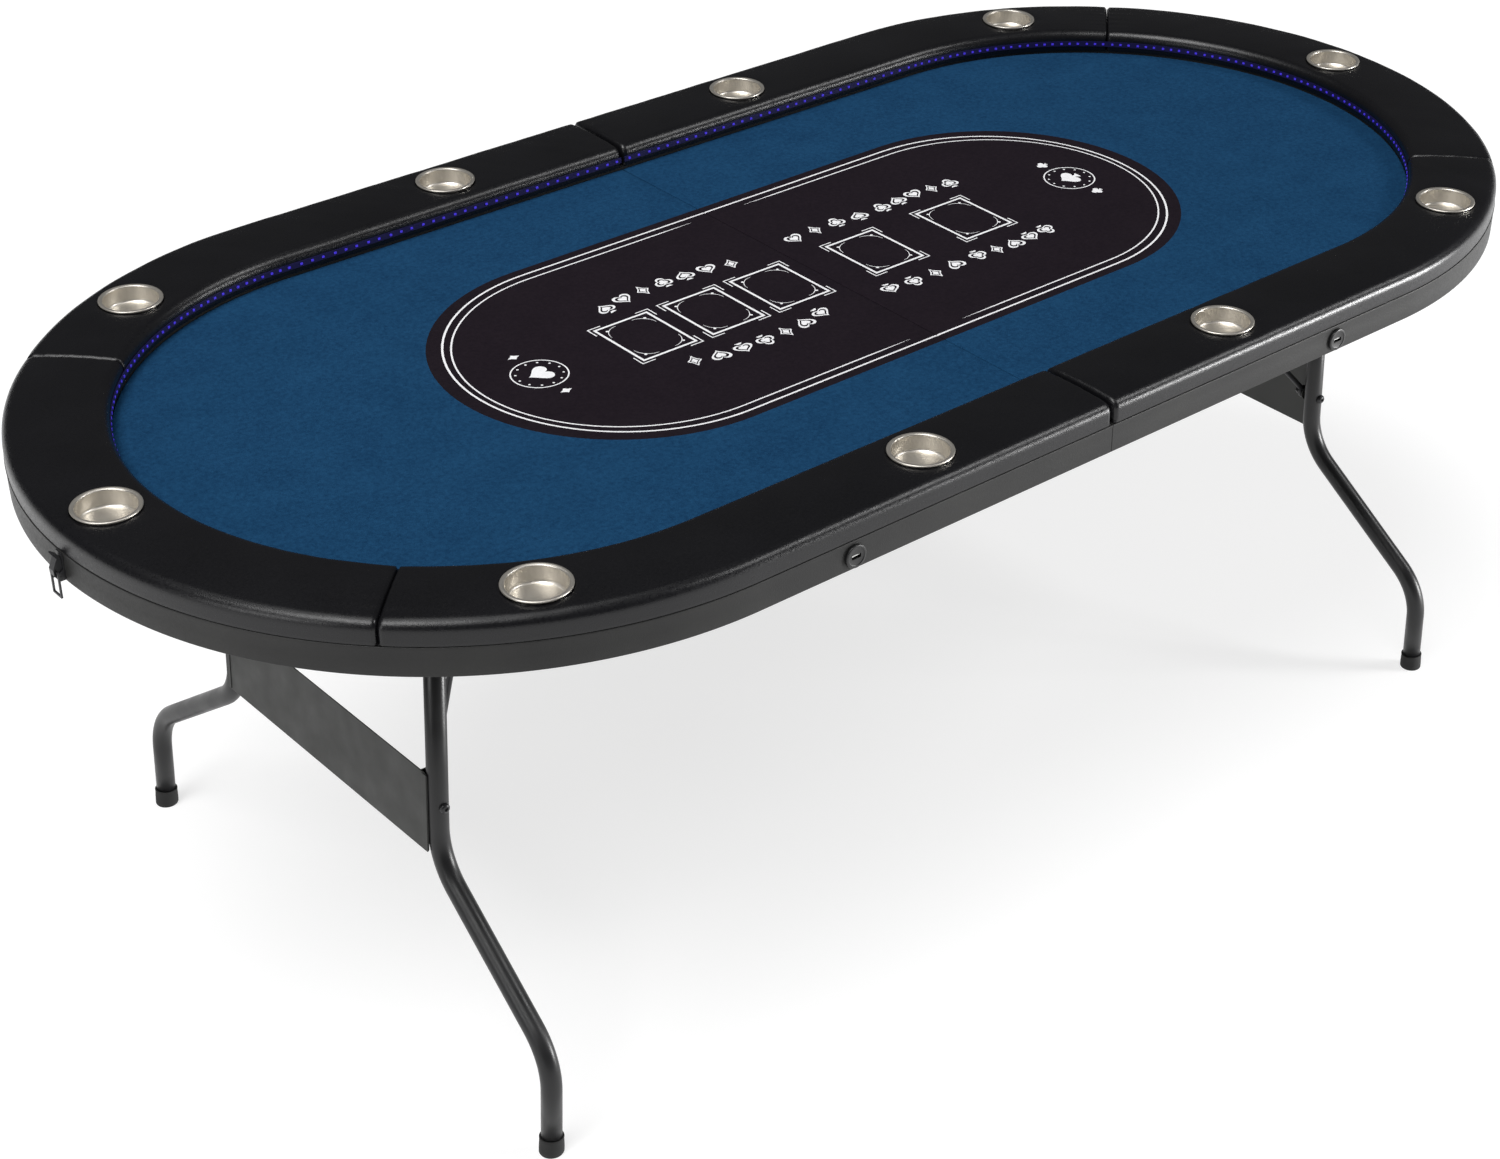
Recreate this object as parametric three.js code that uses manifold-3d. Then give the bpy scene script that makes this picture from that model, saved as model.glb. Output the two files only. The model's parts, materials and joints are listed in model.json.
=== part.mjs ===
// Folding poker table on two folding leg frames, modelled open and standing.
// Frame: millimetres, +X along the table, -Y the near side, +Z up, origin on the floor at the centre.
// The top folds at x = 0 on double-pivot hinges, undersides together, and each leg frame folds inwards.
import * as THREE from "three";
import { mergeVertices } from "three/addons/utils/BufferGeometryUtils.js";
import Module from "manifold-3d";

// ---- Driving dimensions ----
const LENGTH = 2134; // 84 in
const WIDTH = 1067; // 42 in
const HEIGHT = 762; // 30 in
const END_RADIUS = WIDTH / 2;
const END_CENTRE = LENGTH / 2 - END_RADIUS; // distance of each end's arc centre from the fold

const FIT_GAP = 0.4; // between pieces that touch
const ARC_STEP = THREE.MathUtils.degToRad(7.5); // one facet of the curved ends
const ROUND_SIDES = 12;

const RAIL_WIDTH = 119;
const RAIL_BOTTOM = 729;
const RAIL_TOP = HEIGHT - 2; // the cup rims stand 2 mm proud of the pads
const RAIL_CROWN = 1.6; // the pad's middle above its shoulders
const RAIL_TOP_RADIUS = 13;
const RAIL_BOTTOM_RADIUS = 3;
const RAIL_SPLIT_ANGLE = Math.PI / 4; // from the long axis, round each end
const RAIL_SPLIT_GAP = 2;
const RAIL_FOLD_GAP = 3; // each side of the fold

const APRON_BOTTOM = 692;
const APRON_WALL = 12;
const BOARD_TOP = 720;
const BOARD_THICKNESS = 12;
const BOARD_UNDERSIDE = BOARD_TOP - BOARD_THICKNESS;
const FELT_TOP = 725;
const FELT_OFFSET = 117.4; // felt's edge, in from the outline
const LEDGE_OFFSET = 116.6; // inner edge of the ledge that the pads sit on
const LED_THICKNESS = 2; // light strips, on the pads' inner walls
const LED_BOTTOM = 736;
const LED_TOP = 744;

const CUP_OFFSET = 60; // cup centres, in from the outline
const CUP_MID_X = 250.7; // the cups beside the fold
const CUP_CORNER_ANGLE = THREE.MathUtils.degToRad(63.6); // cups round the ends, from the long axis
const CUP_RIM_RADIUS = 39.3;
const CUP_WALL_RADIUS = 34.8;
const CUP_WALL = 1.2;
const CUP_RIM_HEIGHT = 3.2;
const CUP_DEPTH = 22;
const CUP_SIDES = 16;

const SOCKET_X = 401; // charging sockets, each side of the fold
const SOCKET_Z = 709;
const SOCKET_FACE_RADIUS = 14.5;
const SOCKET_FACE_PROUD = 4;
const SOCKET_BARREL_RADIUS = 11;
const SOCKET_DEPTH = 22;
const SOCKET_SLOT = { width: 13.4, height: 5.2, depth: 12 };
const INLET_X = -300;
const INLET_RADIUS = 6;
const INLET_MOUTH_RADIUS = 3.3;

const TUBE_RADIUS = 12.7; // 1 in tube
const TUBE_WALL = 1.4;
const TUBE_SIDES = 10;
const TUBE_BEND_RADIUS = 85;
const PIVOT_X = 746; // leg pivots, each side of the fold
const PIVOT_Z = 692;
const LEG_SPLAY = THREE.MathUtils.degToRad(3.1);
const LEG_TOP_Y = 224;
const LEG_FOOT_Y = 445;
const LEG_BEND_TOP_Z = 294; // where the tube turns outwards
const LEG_BEND_BOTTOM_Z = 135; // and where it turns down again
const FOOT_RADIUS = 15.1;
const FOOT_HEIGHT = 24;
const FOOT_SOLE = 4;

const PANEL_BOTTOM_Z = 306;
const PANEL_TOP_Z = 416;
const PANEL_SHEET = 1.5;
const PANEL_FLANGE = 14;
const PANEL_EAR_RADIUS = 10; // round each bolt
const BOLT_Z = 371;
const BOLT_RADIUS = 4;
const BOLT_HEAD_RADIUS = 6.5;
const NUT_CLEARANCE = 2; // from the brace's arm

const BRACE_RADIUS = 4;
const BRACE_RISE = THREE.MathUtils.degToRad(54.6); // above the inboard horizontal
const BRACE_LENGTH = 401; // from the bolts' line to the top bar
const BRACE_ARM_Y = 204.6; // at the bolts
const BRACE_TOP_Y = 30; // at the top bar
const BRACE_BEND_RADIUS = 20;
const CATCH_CHEEK_Y = 12; // inside, where the top bar is straight
const CATCH_CHEEK = 3;
const CATCH_HALF_WIDTH = 40;

const HINGE_Y = 300;
const HINGE_WIDTH = 60;
const HINGE_PIVOT_X = 14;
const HINGE_PIVOT_Z = 688;
const HINGE_PIN_RADIUS = 3;
const HINGE_REACH = 80;

// ---- Materials ----
const finish = (color, roughness, metalness = 0) =>
  new THREE.MeshStandardMaterial({ color, roughness, metalness });
const railVinyl = finish(0x141418, 0.42);
const apronVinyl = finish(0x3a3a3c, 0.6);
const blueFelt = finish(0x1b4062, 0.95);
const baseboard = finish(0x2a2725, 0.8);
const cupSteel = finish(0xb0aeaa, 0.3, 1);
const frameEnamel = finish(0x3c3c3e, 0.45, 0.4);
const panelEnamel = finish(0x4b4b4a, 0.5, 0.4);
const footRubber = finish(0x101010, 0.85);
const darkHardware = finish(0x202022, 0.4, 0.8);
const zincSteel = finish(0x9a9c9e, 0.35, 1);
const blackPlastic = finish(0x0c0c0d, 0.4);
const ledStrip = finish(0x5a48ff, 0.5);

// ---- Solid helpers ----
const wasm = await Module();
wasm.setup();

// A closed geometry as a manifold-3d solid.
function solidOf(geometry) {
  const bare = geometry.clone();
  bare.deleteAttribute("normal");
  bare.deleteAttribute("uv");
  const merged = mergeVertices(bare, 1e-3);
  const vertProperties = new Float32Array(merged.attributes.position.array);
  const triVerts = new Uint32Array(merged.index.array);
  return new wasm.Manifold(new wasm.Mesh({ numProp: 3, vertProperties, triVerts }));
}

function geometryOf(solid) {
  const mesh = solid.getMesh();
  return new THREE.BufferGeometry()
    .setAttribute("position", new THREE.BufferAttribute(mesh.vertProperties, 3))
    .setIndex(new THREE.BufferAttribute(mesh.triVerts, 1));
}

const join = (first, ...others) =>
  geometryOf(others.reduce((sum, piece) => sum.add(solidOf(piece)), solidOf(first)));
const cut = (first, ...tools) =>
  geometryOf(tools.reduce((rest, tool) => rest.subtract(solidOf(tool)), solidOf(first)));

function block(low, high) {
  const size = high.map((value, i) => value - low[i]);
  const middle = high.map((value, i) => (value + low[i]) / 2);
  return new THREE.BoxGeometry(...size).translate(...middle);
}

// A round bar along Y.
function barY(x, z, radius, yLow, yHigh, sides = ROUND_SIDES) {
  const length = yHigh - yLow;
  return new THREE.CylinderGeometry(radius, radius, length, sides)
    .rotateY(Math.PI / sides)
    .translate(x, (yLow + yHigh) / 2, z);
}

// A round bar along Z.
const barZ = (x, y, radius, zLow, zHigh, sides) =>
  new THREE.CylinderGeometry(radius, radius, zHigh - zLow, sides)
    .rotateX(Math.PI / 2)
    .translate(x, y, (zLow + zHigh) / 2);

const shapeOf = (points) => new THREE.Shape(points.map(([x, y]) => new THREE.Vector2(x, y)));

// An outline in plan, from zLow to zHigh.
const planSlab = (points, zLow, zHigh) =>
  new THREE.ExtrudeGeometry(shapeOf(points), { depth: zHigh - zLow, bevelEnabled: false })
    .translate(0, 0, zLow);

// An outline seen along Y, with x and z as its coordinates, from yLow to yHigh.
const sideSlab = (shape, yLow, yHigh) =>
  new THREE.ExtrudeGeometry(shape, { depth: yHigh - yLow, bevelEnabled: false, curveSegments: 6 })
    .rotateX(Math.PI / 2)
    .translate(0, yHigh, 0);

// A closed skin over rings of points that all have the same count, with flat ends.
function loft(rings) {
  const count = rings[0].length;
  const points = rings.flat();
  const faces = [];
  for (let r = 0; r + 1 < rings.length; r++) {
    for (let i = 0; i < count; i++) {
      const a = r * count + i;
      const b = r * count + ((i + 1) % count);
      faces.push([a, b, b + count], [a, b + count, a + count]);
    }
  }
  const last = (rings.length - 1) * count;
  for (const [a, b, c] of endFaces(rings[0])) {
    faces.push([a, c, b], [last + a, last + b, last + c]);
  }
  const geometry = new THREE.BufferGeometry().setFromPoints(points).setIndex(faces.flat());
  return solidOf(geometry).volume() < 0 ? reversed(geometry) : geometry;
}

// Triangles of one flat ring of points, counted from zero.
function endFaces(ring) {
  const origin = ring[0];
  const normal = new THREE.Vector3();
  ring.forEach((p, i) => {
    const q = ring[(i + 1) % ring.length];
    normal.add(p.clone().sub(origin).cross(q.clone().sub(origin)));
  });
  normal.normalize();
  const across = ring[1].clone().sub(origin).normalize();
  const up = normal.clone().cross(across);
  const flat = ring.map((p) => {
    const d = p.clone().sub(origin);
    return new THREE.Vector2(d.dot(across), d.dot(up));
  });
  return THREE.ShapeUtils.triangulateShape(flat, []);
}

function reversed(geometry) {
  const index = geometry.index.array;
  for (let i = 0; i < index.length; i += 3) {
    [index[i + 1], index[i + 2]] = [index[i + 2], index[i + 1]];
  }
  return geometry;
}

// A polyline in one plane whose corners are turned into arcs.
function rounded(corners, radius, steps = 3) {
  const path = [corners[0]];
  for (let i = 1; i + 1 < corners.length; i++) {
    const back = corners[i - 1].clone().sub(corners[i]).normalize();
    const ahead = corners[i + 1].clone().sub(corners[i]).normalize();
    const half = back.angleTo(ahead) / 2;
    const toCentre = back.clone().add(ahead).normalize().multiplyScalar(radius / Math.sin(half));
    const centre = corners[i].clone().add(toCentre);
    const tangent = radius / Math.tan(half);
    const from = corners[i].clone().addScaledVector(back, tangent).sub(centre);
    const to = corners[i].clone().addScaledVector(ahead, tangent).sub(centre);
    const turn = from.angleTo(to);
    for (let s = 0; s <= steps; s++) {
      const a = (turn * s) / steps;
      path.push(
        from.clone().multiplyScalar(Math.sin(turn - a) / Math.sin(turn))
          .addScaledVector(to, Math.sin(a) / Math.sin(turn))
          .add(centre),
      );
    }
  }
  path.push(corners[corners.length - 1]);
  return path;
}

// A round bar along a path that lies in a plane of constant x.
function barAlong(path, radius, sides) {
  const normal = new THREE.Vector3(1, 0, 0);
  const rings = path.map((point, i) => {
    const before = path[Math.max(i - 1, 0)];
    const after = path[Math.min(i + 1, path.length - 1)];
    const side = after.clone().sub(before).normalize().cross(normal);
    return Array.from({ length: sides }, (_, k) => {
      const a = (2 * Math.PI * (k + 0.5)) / sides;
      return point.clone()
        .addScaledVector(side, radius * Math.cos(a))
        .addScaledVector(normal, radius * Math.sin(a));
    });
  });
  return loft(rings);
}

// ---- Outline of the right half ----

// Stations along the outline, from angle to angle round the end and on along the straight sides
// to the distance xStart from the fold. Each has a point on the outline and the inward normal.
function stations(fromAngle, toAngle, xStart) {
  const list = [];
  const station = (x, y, nx, ny) => list.push({ x, y, nx, ny });
  if (fromAngle <= -Math.PI / 2) station(xStart, -END_RADIUS, 0, 1);
  const low = Math.max(fromAngle, -Math.PI / 2);
  const high = Math.min(toAngle, Math.PI / 2);
  const steps = Math.ceil((high - low) / ARC_STEP - 1e-6);
  for (let i = 0; i <= steps; i++) {
    const a = low + ((high - low) * i) / steps;
    station(END_CENTRE + END_RADIUS * Math.cos(a), END_RADIUS * Math.sin(a), -Math.cos(a), -Math.sin(a));
  }
  if (toAngle >= Math.PI / 2) station(xStart, END_RADIUS, 0, -1);
  return list;
}

const wholeHalf = (xStart) => stations(-Math.PI / 2, Math.PI / 2, xStart);
const inward = (station, offset) => [station.x + station.nx * offset, station.y + station.ny * offset];

// A section of [offset inwards, z] points swept along stations.
const sweep = (section, path) =>
  loft(path.map((s) => section.map(([offset, z]) => new THREE.Vector3(...inward(s, offset), z))));

// A plate in the shape of the half top, its edge set in by offset.
const halfPlate = (offset, zLow, zHigh) =>
  planSlab(wholeHalf(FIT_GAP).map((s) => inward(s, offset)), zLow, zHigh);

// The left half is the right half turned half round.
const onSide = (geometry, side) => (side < 0 ? geometry.rotateZ(Math.PI) : geometry);

// ---- Assembly ----
const table = new THREE.Group();

function add(name, geometry, material, parent = table) {
  const mesh = new THREE.Mesh(geometry, material);
  mesh.name = name;
  parent.add(mesh);
  return mesh;
}

const sideName = (side) => (side < 0 ? "left" : "right");
const rowName = (y) => (y < 0 ? "near" : "far");

// ---- Top ----

function socketClearance(side) {
  const radius = SOCKET_BARREL_RADIUS + FIT_GAP;
  const depth = SOCKET_DEPTH + 2;
  return block(
    [side * SOCKET_X - radius, -END_RADIUS - 1, SOCKET_Z - radius],
    [side * SOCKET_X + radius, -END_RADIUS + depth, SOCKET_Z + radius],
  );
}

const socketBore = (side) =>
  barY(side * SOCKET_X, SOCKET_Z, SOCKET_BARREL_RADIUS + FIT_GAP, -END_RADIUS - 1, -END_RADIUS + 30);

const inletBore = () =>
  barY(INLET_X, APRON_BOTTOM + 8, INLET_RADIUS + FIT_GAP, END_RADIUS - 30, END_RADIUS + 1, 12);

function board(side) {
  const plate = onSide(halfPlate(APRON_WALL + FIT_GAP, BOARD_UNDERSIDE, BOARD_TOP), side);
  return cut(plate, socketClearance(side));
}

function apron(side) {
  const ledgeBottom = BOARD_TOP + FIT_GAP;
  const top = RAIL_BOTTOM - FIT_GAP;
  const section = [
    [0, APRON_BOTTOM],
    [APRON_WALL, APRON_BOTTOM],
    [APRON_WALL, ledgeBottom],
    [LEDGE_OFFSET, ledgeBottom],
    [LEDGE_OFFSET, top],
    [0, top],
  ];
  const ring = onSide(sweep(section, wholeHalf(FIT_GAP)), side);
  const holes = side < 0 ? [socketBore(side), inletBore()] : [socketBore(side)];
  const ledgeRelief = block(
    [side * SOCKET_X - 12, -END_RADIUS + APRON_WALL - 0.01, SOCKET_Z],
    [side * SOCKET_X + 12, -END_RADIUS + SOCKET_DEPTH + 2, SOCKET_Z + 14],
  );
  return cut(ring, ...holes, ledgeRelief);
}

function ledStripBody(side) {
  const inner = RAIL_WIDTH + FIT_GAP;
  const section = [
    [inner, LED_BOTTOM],
    [inner + LED_THICKNESS, LED_BOTTOM],
    [inner + LED_THICKNESS, LED_TOP],
    [inner, LED_TOP],
  ];
  return onSide(sweep(section, wholeHalf(RAIL_FOLD_GAP)), side);
}

// The pad's cross-section: rounded edges, and a top that is crowned between its shoulders.
function railSection() {
  const shoulder = RAIL_TOP - RAIL_CROWN;
  const corner = (offset, z, radius, from) =>
    [0, 1, 2].map((i) => {
      const a = from + (i * Math.PI) / 4;
      return [offset + radius * Math.cos(a), z + radius * Math.sin(a)];
    });
  return [
    ...corner(RAIL_BOTTOM_RADIUS, RAIL_BOTTOM + RAIL_BOTTOM_RADIUS, RAIL_BOTTOM_RADIUS, Math.PI)
      .filter((_, i) => i !== 1),
    ...corner(
      RAIL_WIDTH - RAIL_BOTTOM_RADIUS,
      RAIL_BOTTOM + RAIL_BOTTOM_RADIUS,
      RAIL_BOTTOM_RADIUS,
      -Math.PI / 2,
    ).filter((_, i) => i !== 1),
    ...corner(RAIL_WIDTH - RAIL_TOP_RADIUS, shoulder - RAIL_TOP_RADIUS, RAIL_TOP_RADIUS, 0),
    [RAIL_WIDTH / 2, RAIL_TOP],
    ...corner(RAIL_TOP_RADIUS, shoulder - RAIL_TOP_RADIUS, RAIL_TOP_RADIUS, Math.PI / 2),
  ];
}

const splitTurn = RAIL_SPLIT_GAP / 2 / END_RADIUS; // half the gap between two pads, as an angle

function railPad(side, fromAngle, toAngle, cups) {
  const pad = onSide(sweep(railSection(), stations(fromAngle, toAngle, RAIL_FOLD_GAP)), side);
  const cuts = cups.flatMap(({ x, y }) => [
    barZ(x, y, CUP_WALL_RADIUS + 1.2, RAIL_BOTTOM - 1, RAIL_TOP + 1, CUP_SIDES),
    barZ(x, y, CUP_RIM_RADIUS + 1, HEIGHT - CUP_RIM_HEIGHT - FIT_GAP, RAIL_TOP + 1, CUP_SIDES),
  ]);
  return cut(pad, ...cuts);
}

// Where the cups sit, by name.
function cupPlaces(side) {
  const ring = END_RADIUS - CUP_OFFSET;
  const corner = {
    x: side * (END_CENTRE + ring * Math.cos(CUP_CORNER_ANGLE)),
    y: ring * Math.sin(CUP_CORNER_ANGLE),
  };
  return {
    end: { x: side * (END_CENTRE + ring), y: 0 },
    near_corner: { x: corner.x, y: -corner.y },
    near_mid: { x: side * CUP_MID_X, y: -ring },
    far_corner: corner,
    far_mid: { x: side * CUP_MID_X, y: ring },
  };
}

// A pressed cup with a rolled rim.
function cup() {
  const floor = HEIGHT - CUP_DEPTH;
  const rimUnder = HEIGHT - CUP_RIM_HEIGHT;
  const inner = CUP_WALL_RADIUS - CUP_WALL;
  const profile = [
    [0, floor - CUP_WALL],
    [inner - 3, floor - CUP_WALL],
    [CUP_WALL_RADIUS, floor + 3],
    [CUP_WALL_RADIUS, rimUnder],
    [CUP_RIM_RADIUS, rimUnder],
    [CUP_RIM_RADIUS, HEIGHT - 1.2],
    [CUP_RIM_RADIUS - 2.6, HEIGHT],
    [inner, HEIGHT - 1.8],
    [inner, floor + 4],
    [inner - 4, floor],
    [0, floor],
  ];
  const points = profile.map(([r, z]) => new THREE.Vector2(r, z));
  return new THREE.LatheGeometry(points, CUP_SIDES).rotateX(Math.PI / 2);
}

function chargingSocket(side) {
  const x = side * SOCKET_X;
  const front = -END_RADIUS - SOCKET_FACE_PROUD;
  const face = barY(x, SOCKET_Z, SOCKET_FACE_RADIUS, front, -END_RADIUS - FIT_GAP);
  const back = -END_RADIUS + SOCKET_DEPTH;
  const barrel = barY(x, SOCKET_Z, SOCKET_BARREL_RADIUS, -END_RADIUS - 1, back);
  const slot = block(
    [x - SOCKET_SLOT.width / 2, front - 1, SOCKET_Z - SOCKET_SLOT.height / 2],
    [x + SOCKET_SLOT.width / 2, front + SOCKET_SLOT.depth, SOCKET_Z + SOCKET_SLOT.height / 2],
  );
  return cut(join(face, barrel), slot);
}

function powerInlet() {
  const z = APRON_BOTTOM + 8;
  const flange = barY(INLET_X, z, INLET_RADIUS + 1.5, END_RADIUS + FIT_GAP, END_RADIUS + 1.6, 12);
  const barrel = barY(INLET_X, z, INLET_RADIUS, END_RADIUS - 20, END_RADIUS + 1, 12);
  const mouth = barY(INLET_X, z, INLET_MOUTH_RADIUS, END_RADIUS - 10, END_RADIUS + 2, 12);
  return cut(join(flange, barrel), mouth);
}

// The box that drives the light strips, on the underside beside the left legs.
function lightController() {
  const top = BOARD_UNDERSIDE - FIT_GAP;
  const body = block([-640, 330, top - 16], [-556, 368, top]);
  const ears = block([-650, 338, top - 3], [-546, 360, top]);
  return join(body, ears);
}

function buildTop(side) {
  const name = sideName(side);
  const nearTurn = side < 0 ? 1 : -1; // half-turned pieces swap near and far
  const cups = cupPlaces(side);
  add(name + "_board", board(side), baseboard);
  add(name + "_felt", onSide(halfPlate(FELT_OFFSET, BOARD_TOP + FIT_GAP, FELT_TOP), side), blueFelt);
  add(name + "_apron", apron(side), apronVinyl);
  const split = RAIL_SPLIT_ANGLE;
  const quarter = Math.PI / 2;
  const endPad = railPad(side, -split + splitTurn, split - splitTurn, [cups.end]);
  add(name + "_end_rail_pad", endPad, railVinyl);
  for (const row of ["near", "far"]) {
    const low = (row === "near" ? nearTurn : -nearTurn) < 0;
    const from = low ? -quarter : split + splitTurn;
    const to = low ? -split - splitTurn : quarter;
    const pad = railPad(side, from, to, [cups[row + "_corner"], cups[row + "_mid"]]);
    add(name + "_" + row + "_rail_pad", pad, railVinyl);
  }
  for (const [place, { x, y }] of Object.entries(cups)) {
    add(name + "_" + place + "_cup", cup(), cupSteel).position.set(x, y, 0);
  }
  add(name + "_led_strip", ledStripBody(side), ledStrip);
  add(name + "_charging_socket", chargingSocket(side), blackPlastic);
}

// ---- Leg frames ----
// In a frame's own axes +x points inboard, z runs up the splayed legs and the pivot is the origin.

const alongLeg = (z) => (z - PIVOT_Z) / Math.cos(LEG_SPLAY);

function legTube(ySign) {
  const corner = (y, z) => new THREE.Vector3(0, ySign * y, z);
  const run = (top, bottom) =>
    rounded(
      [
        corner(LEG_TOP_Y, top),
        corner(LEG_TOP_Y, alongLeg(LEG_BEND_TOP_Z)),
        corner(LEG_FOOT_Y, alongLeg(LEG_BEND_BOTTOM_Z)),
        corner(LEG_FOOT_Y, bottom),
      ],
      TUBE_BEND_RADIUS,
    );
  const top = -TUBE_RADIUS - FIT_GAP;
  const bottom = alongLeg(FOOT_SOLE + 1);
  const outside = barAlong(run(top, bottom), TUBE_RADIUS, TUBE_SIDES);
  const inside = barAlong(run(top + 1, bottom - 1), TUBE_RADIUS - TUBE_WALL, 8);
  const y = ySign * LEG_TOP_Y;
  const boltHole = barY(0, alongLeg(BOLT_Z), BOLT_RADIUS + FIT_GAP, y - 20, y + 20);
  return cut(outside, inside, boltHole);
}

function crossTube() {
  const end = LEG_TOP_Y + TUBE_RADIUS;
  const outside = barY(0, 0, TUBE_RADIUS, -end, end, TUBE_SIDES);
  return cut(outside, barY(0, 0, TUBE_RADIUS - TUBE_WALL, -end - 1, end + 1, 8));
}

// A sheet across the tubes' outer side, with flanges that are bolted to the tubes' inner sides.
function legPanel() {
  const outer = -TUBE_RADIUS - FIT_GAP - PANEL_SHEET;
  const low = alongLeg(PANEL_BOTTOM_Z);
  const high = alongLeg(PANEL_TOP_Z);
  const bolt = alongLeg(BOLT_Z);
  const web = block([outer, -LEG_TOP_Y, low], [outer + PANEL_SHEET, LEG_TOP_Y, high]);
  const edge = LEG_TOP_Y - TUBE_RADIUS - FIT_GAP;
  const flanges = [-1, 1].flatMap((s) => {
    const faces = [s * edge, s * (edge - PANEL_SHEET)].sort((a, b) => a - b);
    return [
      block([outer, faces[0], low], [outer + PANEL_FLANGE, faces[1], high]),
      barY(0, bolt, PANEL_EAR_RADIUS, ...faces),
    ];
  });
  const bore = barY(0, bolt, BOLT_RADIUS + FIT_GAP, -edge - 1, edge + 1);
  return cut(join(web, ...flanges), bore);
}

function legBolt(ySign) {
  const headInner = LEG_TOP_Y + TUBE_RADIUS + FIT_GAP;
  const nutOuter = BRACE_ARM_Y - BRACE_RADIUS - NUT_CLEARANCE;
  const part = (radius, from, to, sides) => {
    const [low, high] = [ySign * from, ySign * to].sort((a, b) => a - b);
    return barY(0, alongLeg(BOLT_Z), radius, low, high, sides);
  };
  return join(
    part(BOLT_HEAD_RADIUS, headInner, headInner + 5, 8),
    part(BOLT_RADIUS, nutOuter - 3, headInner + 1, 8),
    part(BOLT_HEAD_RADIUS, nutOuter - 6, nutOuter, 6),
  );
}

// A rubber cap on the tube's end, cut level with the floor.
function footCap(ySign) {
  const y = ySign * LEG_FOOT_Y;
  const bottom = alongLeg(-6);
  const sole = alongLeg(FOOT_SOLE);
  const outside = barZ(0, y, FOOT_RADIUS, bottom, alongLeg(FOOT_HEIGHT), ROUND_SIDES);
  const inside = barZ(0, y, TUBE_RADIUS + 0.5, sole, alongLeg(FOOT_HEIGHT) + 1, ROUND_SIDES);
  const splayed = cut(outside, inside).rotateY(LEG_SPLAY).translate(0, 0, PIVOT_Z);
  const floor = block([-200, y - 50, -50], [200, y + 50, 0]);
  return cut(splayed, floor).translate(0, 0, -PIVOT_Z).rotateY(-LEG_SPLAY);
}

// A round bar bent to a V with a short top bar, and an eye on each arm for the bolt.
// Its own origin is the bolts' line.
function brace() {
  const at = (y, z) => new THREE.Vector3(0, y, z);
  const start = 6;
  const path = rounded(
    [
      at(-BRACE_ARM_Y, start),
      at(-BRACE_TOP_Y, BRACE_LENGTH),
      at(BRACE_TOP_Y, BRACE_LENGTH),
      at(BRACE_ARM_Y, start),
    ],
    BRACE_BEND_RADIUS,
  );
  const eyes = [-BRACE_ARM_Y, BRACE_ARM_Y].map((y) => barY(0, 0, 9, y - 2.5, y + 2.5));
  const bore = barY(0, 0, BOLT_RADIUS + 0.6, -LEG_TOP_Y, LEG_TOP_Y);
  return cut(join(barAlong(path, BRACE_RADIUS, 6), ...eyes), bore);
}

// Pressed plate on the underside with two eyes that carry the cross tube.
function pivotPlate() {
  const top = BOARD_UNDERSIDE - FIT_GAP;
  const bore = TUBE_RADIUS + 0.8;
  const plate = block([PIVOT_X - 30, -205, top - 2], [PIVOT_X + 30, 205, top]);
  const ears = [-185, 185].map((y) =>
    join(
      barY(PIVOT_X, PIVOT_Z, bore + 1.9, y - 10, y + 10, 20),
      block([PIVOT_X - bore - 1.9, y - 10, PIVOT_Z], [PIVOT_X + bore + 1.9, y + 10, top - 1]),
    ),
  );
  return cut(join(plate, ...ears), barY(PIVOT_X, PIVOT_Z, bore, -210, 210, 20));
}

const BRACE_TOP_X =
  PIVOT_X + (PIVOT_Z - BOLT_Z) * Math.tan(LEG_SPLAY) - BRACE_LENGTH * Math.cos(BRACE_RISE);
const BRACE_TOP_Z = BOLT_Z + BRACE_LENGTH * Math.sin(BRACE_RISE);

// Two hooked cheeks that hold the brace's top bar, open towards the fold.
function braceCatch() {
  const top = BOARD_UNDERSIDE - FIT_GAP;
  const slotLow = BRACE_TOP_Z - BRACE_RADIUS - 2.5;
  const slotHigh = BRACE_TOP_Z + BRACE_RADIUS + 0.8;
  const mouth = BRACE_TOP_X - 12;
  const lip = BRACE_TOP_X - 3;
  const back = BRACE_TOP_X + BRACE_RADIUS + 0.6;
  const hook = shapeOf([
    [mouth, top - 1],
    [mouth, slotHigh],
    [back, slotHigh],
    [back, slotLow],
    [lip, slotLow],
    [lip + 2, slotLow - 5],
    [back + 8, slotLow - 5],
    [back + 14, top - 1],
  ]);
  const plate = block(
    [mouth - 4, -CATCH_HALF_WIDTH, top - 2],
    [back + 18, CATCH_HALF_WIDTH, top],
  );
  const cheeks = [-CATCH_CHEEK_Y - CATCH_CHEEK, CATCH_CHEEK_Y].map((y) =>
    sideSlab(hook, y, y + CATCH_CHEEK),
  );
  return join(plate, ...cheeks);
}

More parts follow.
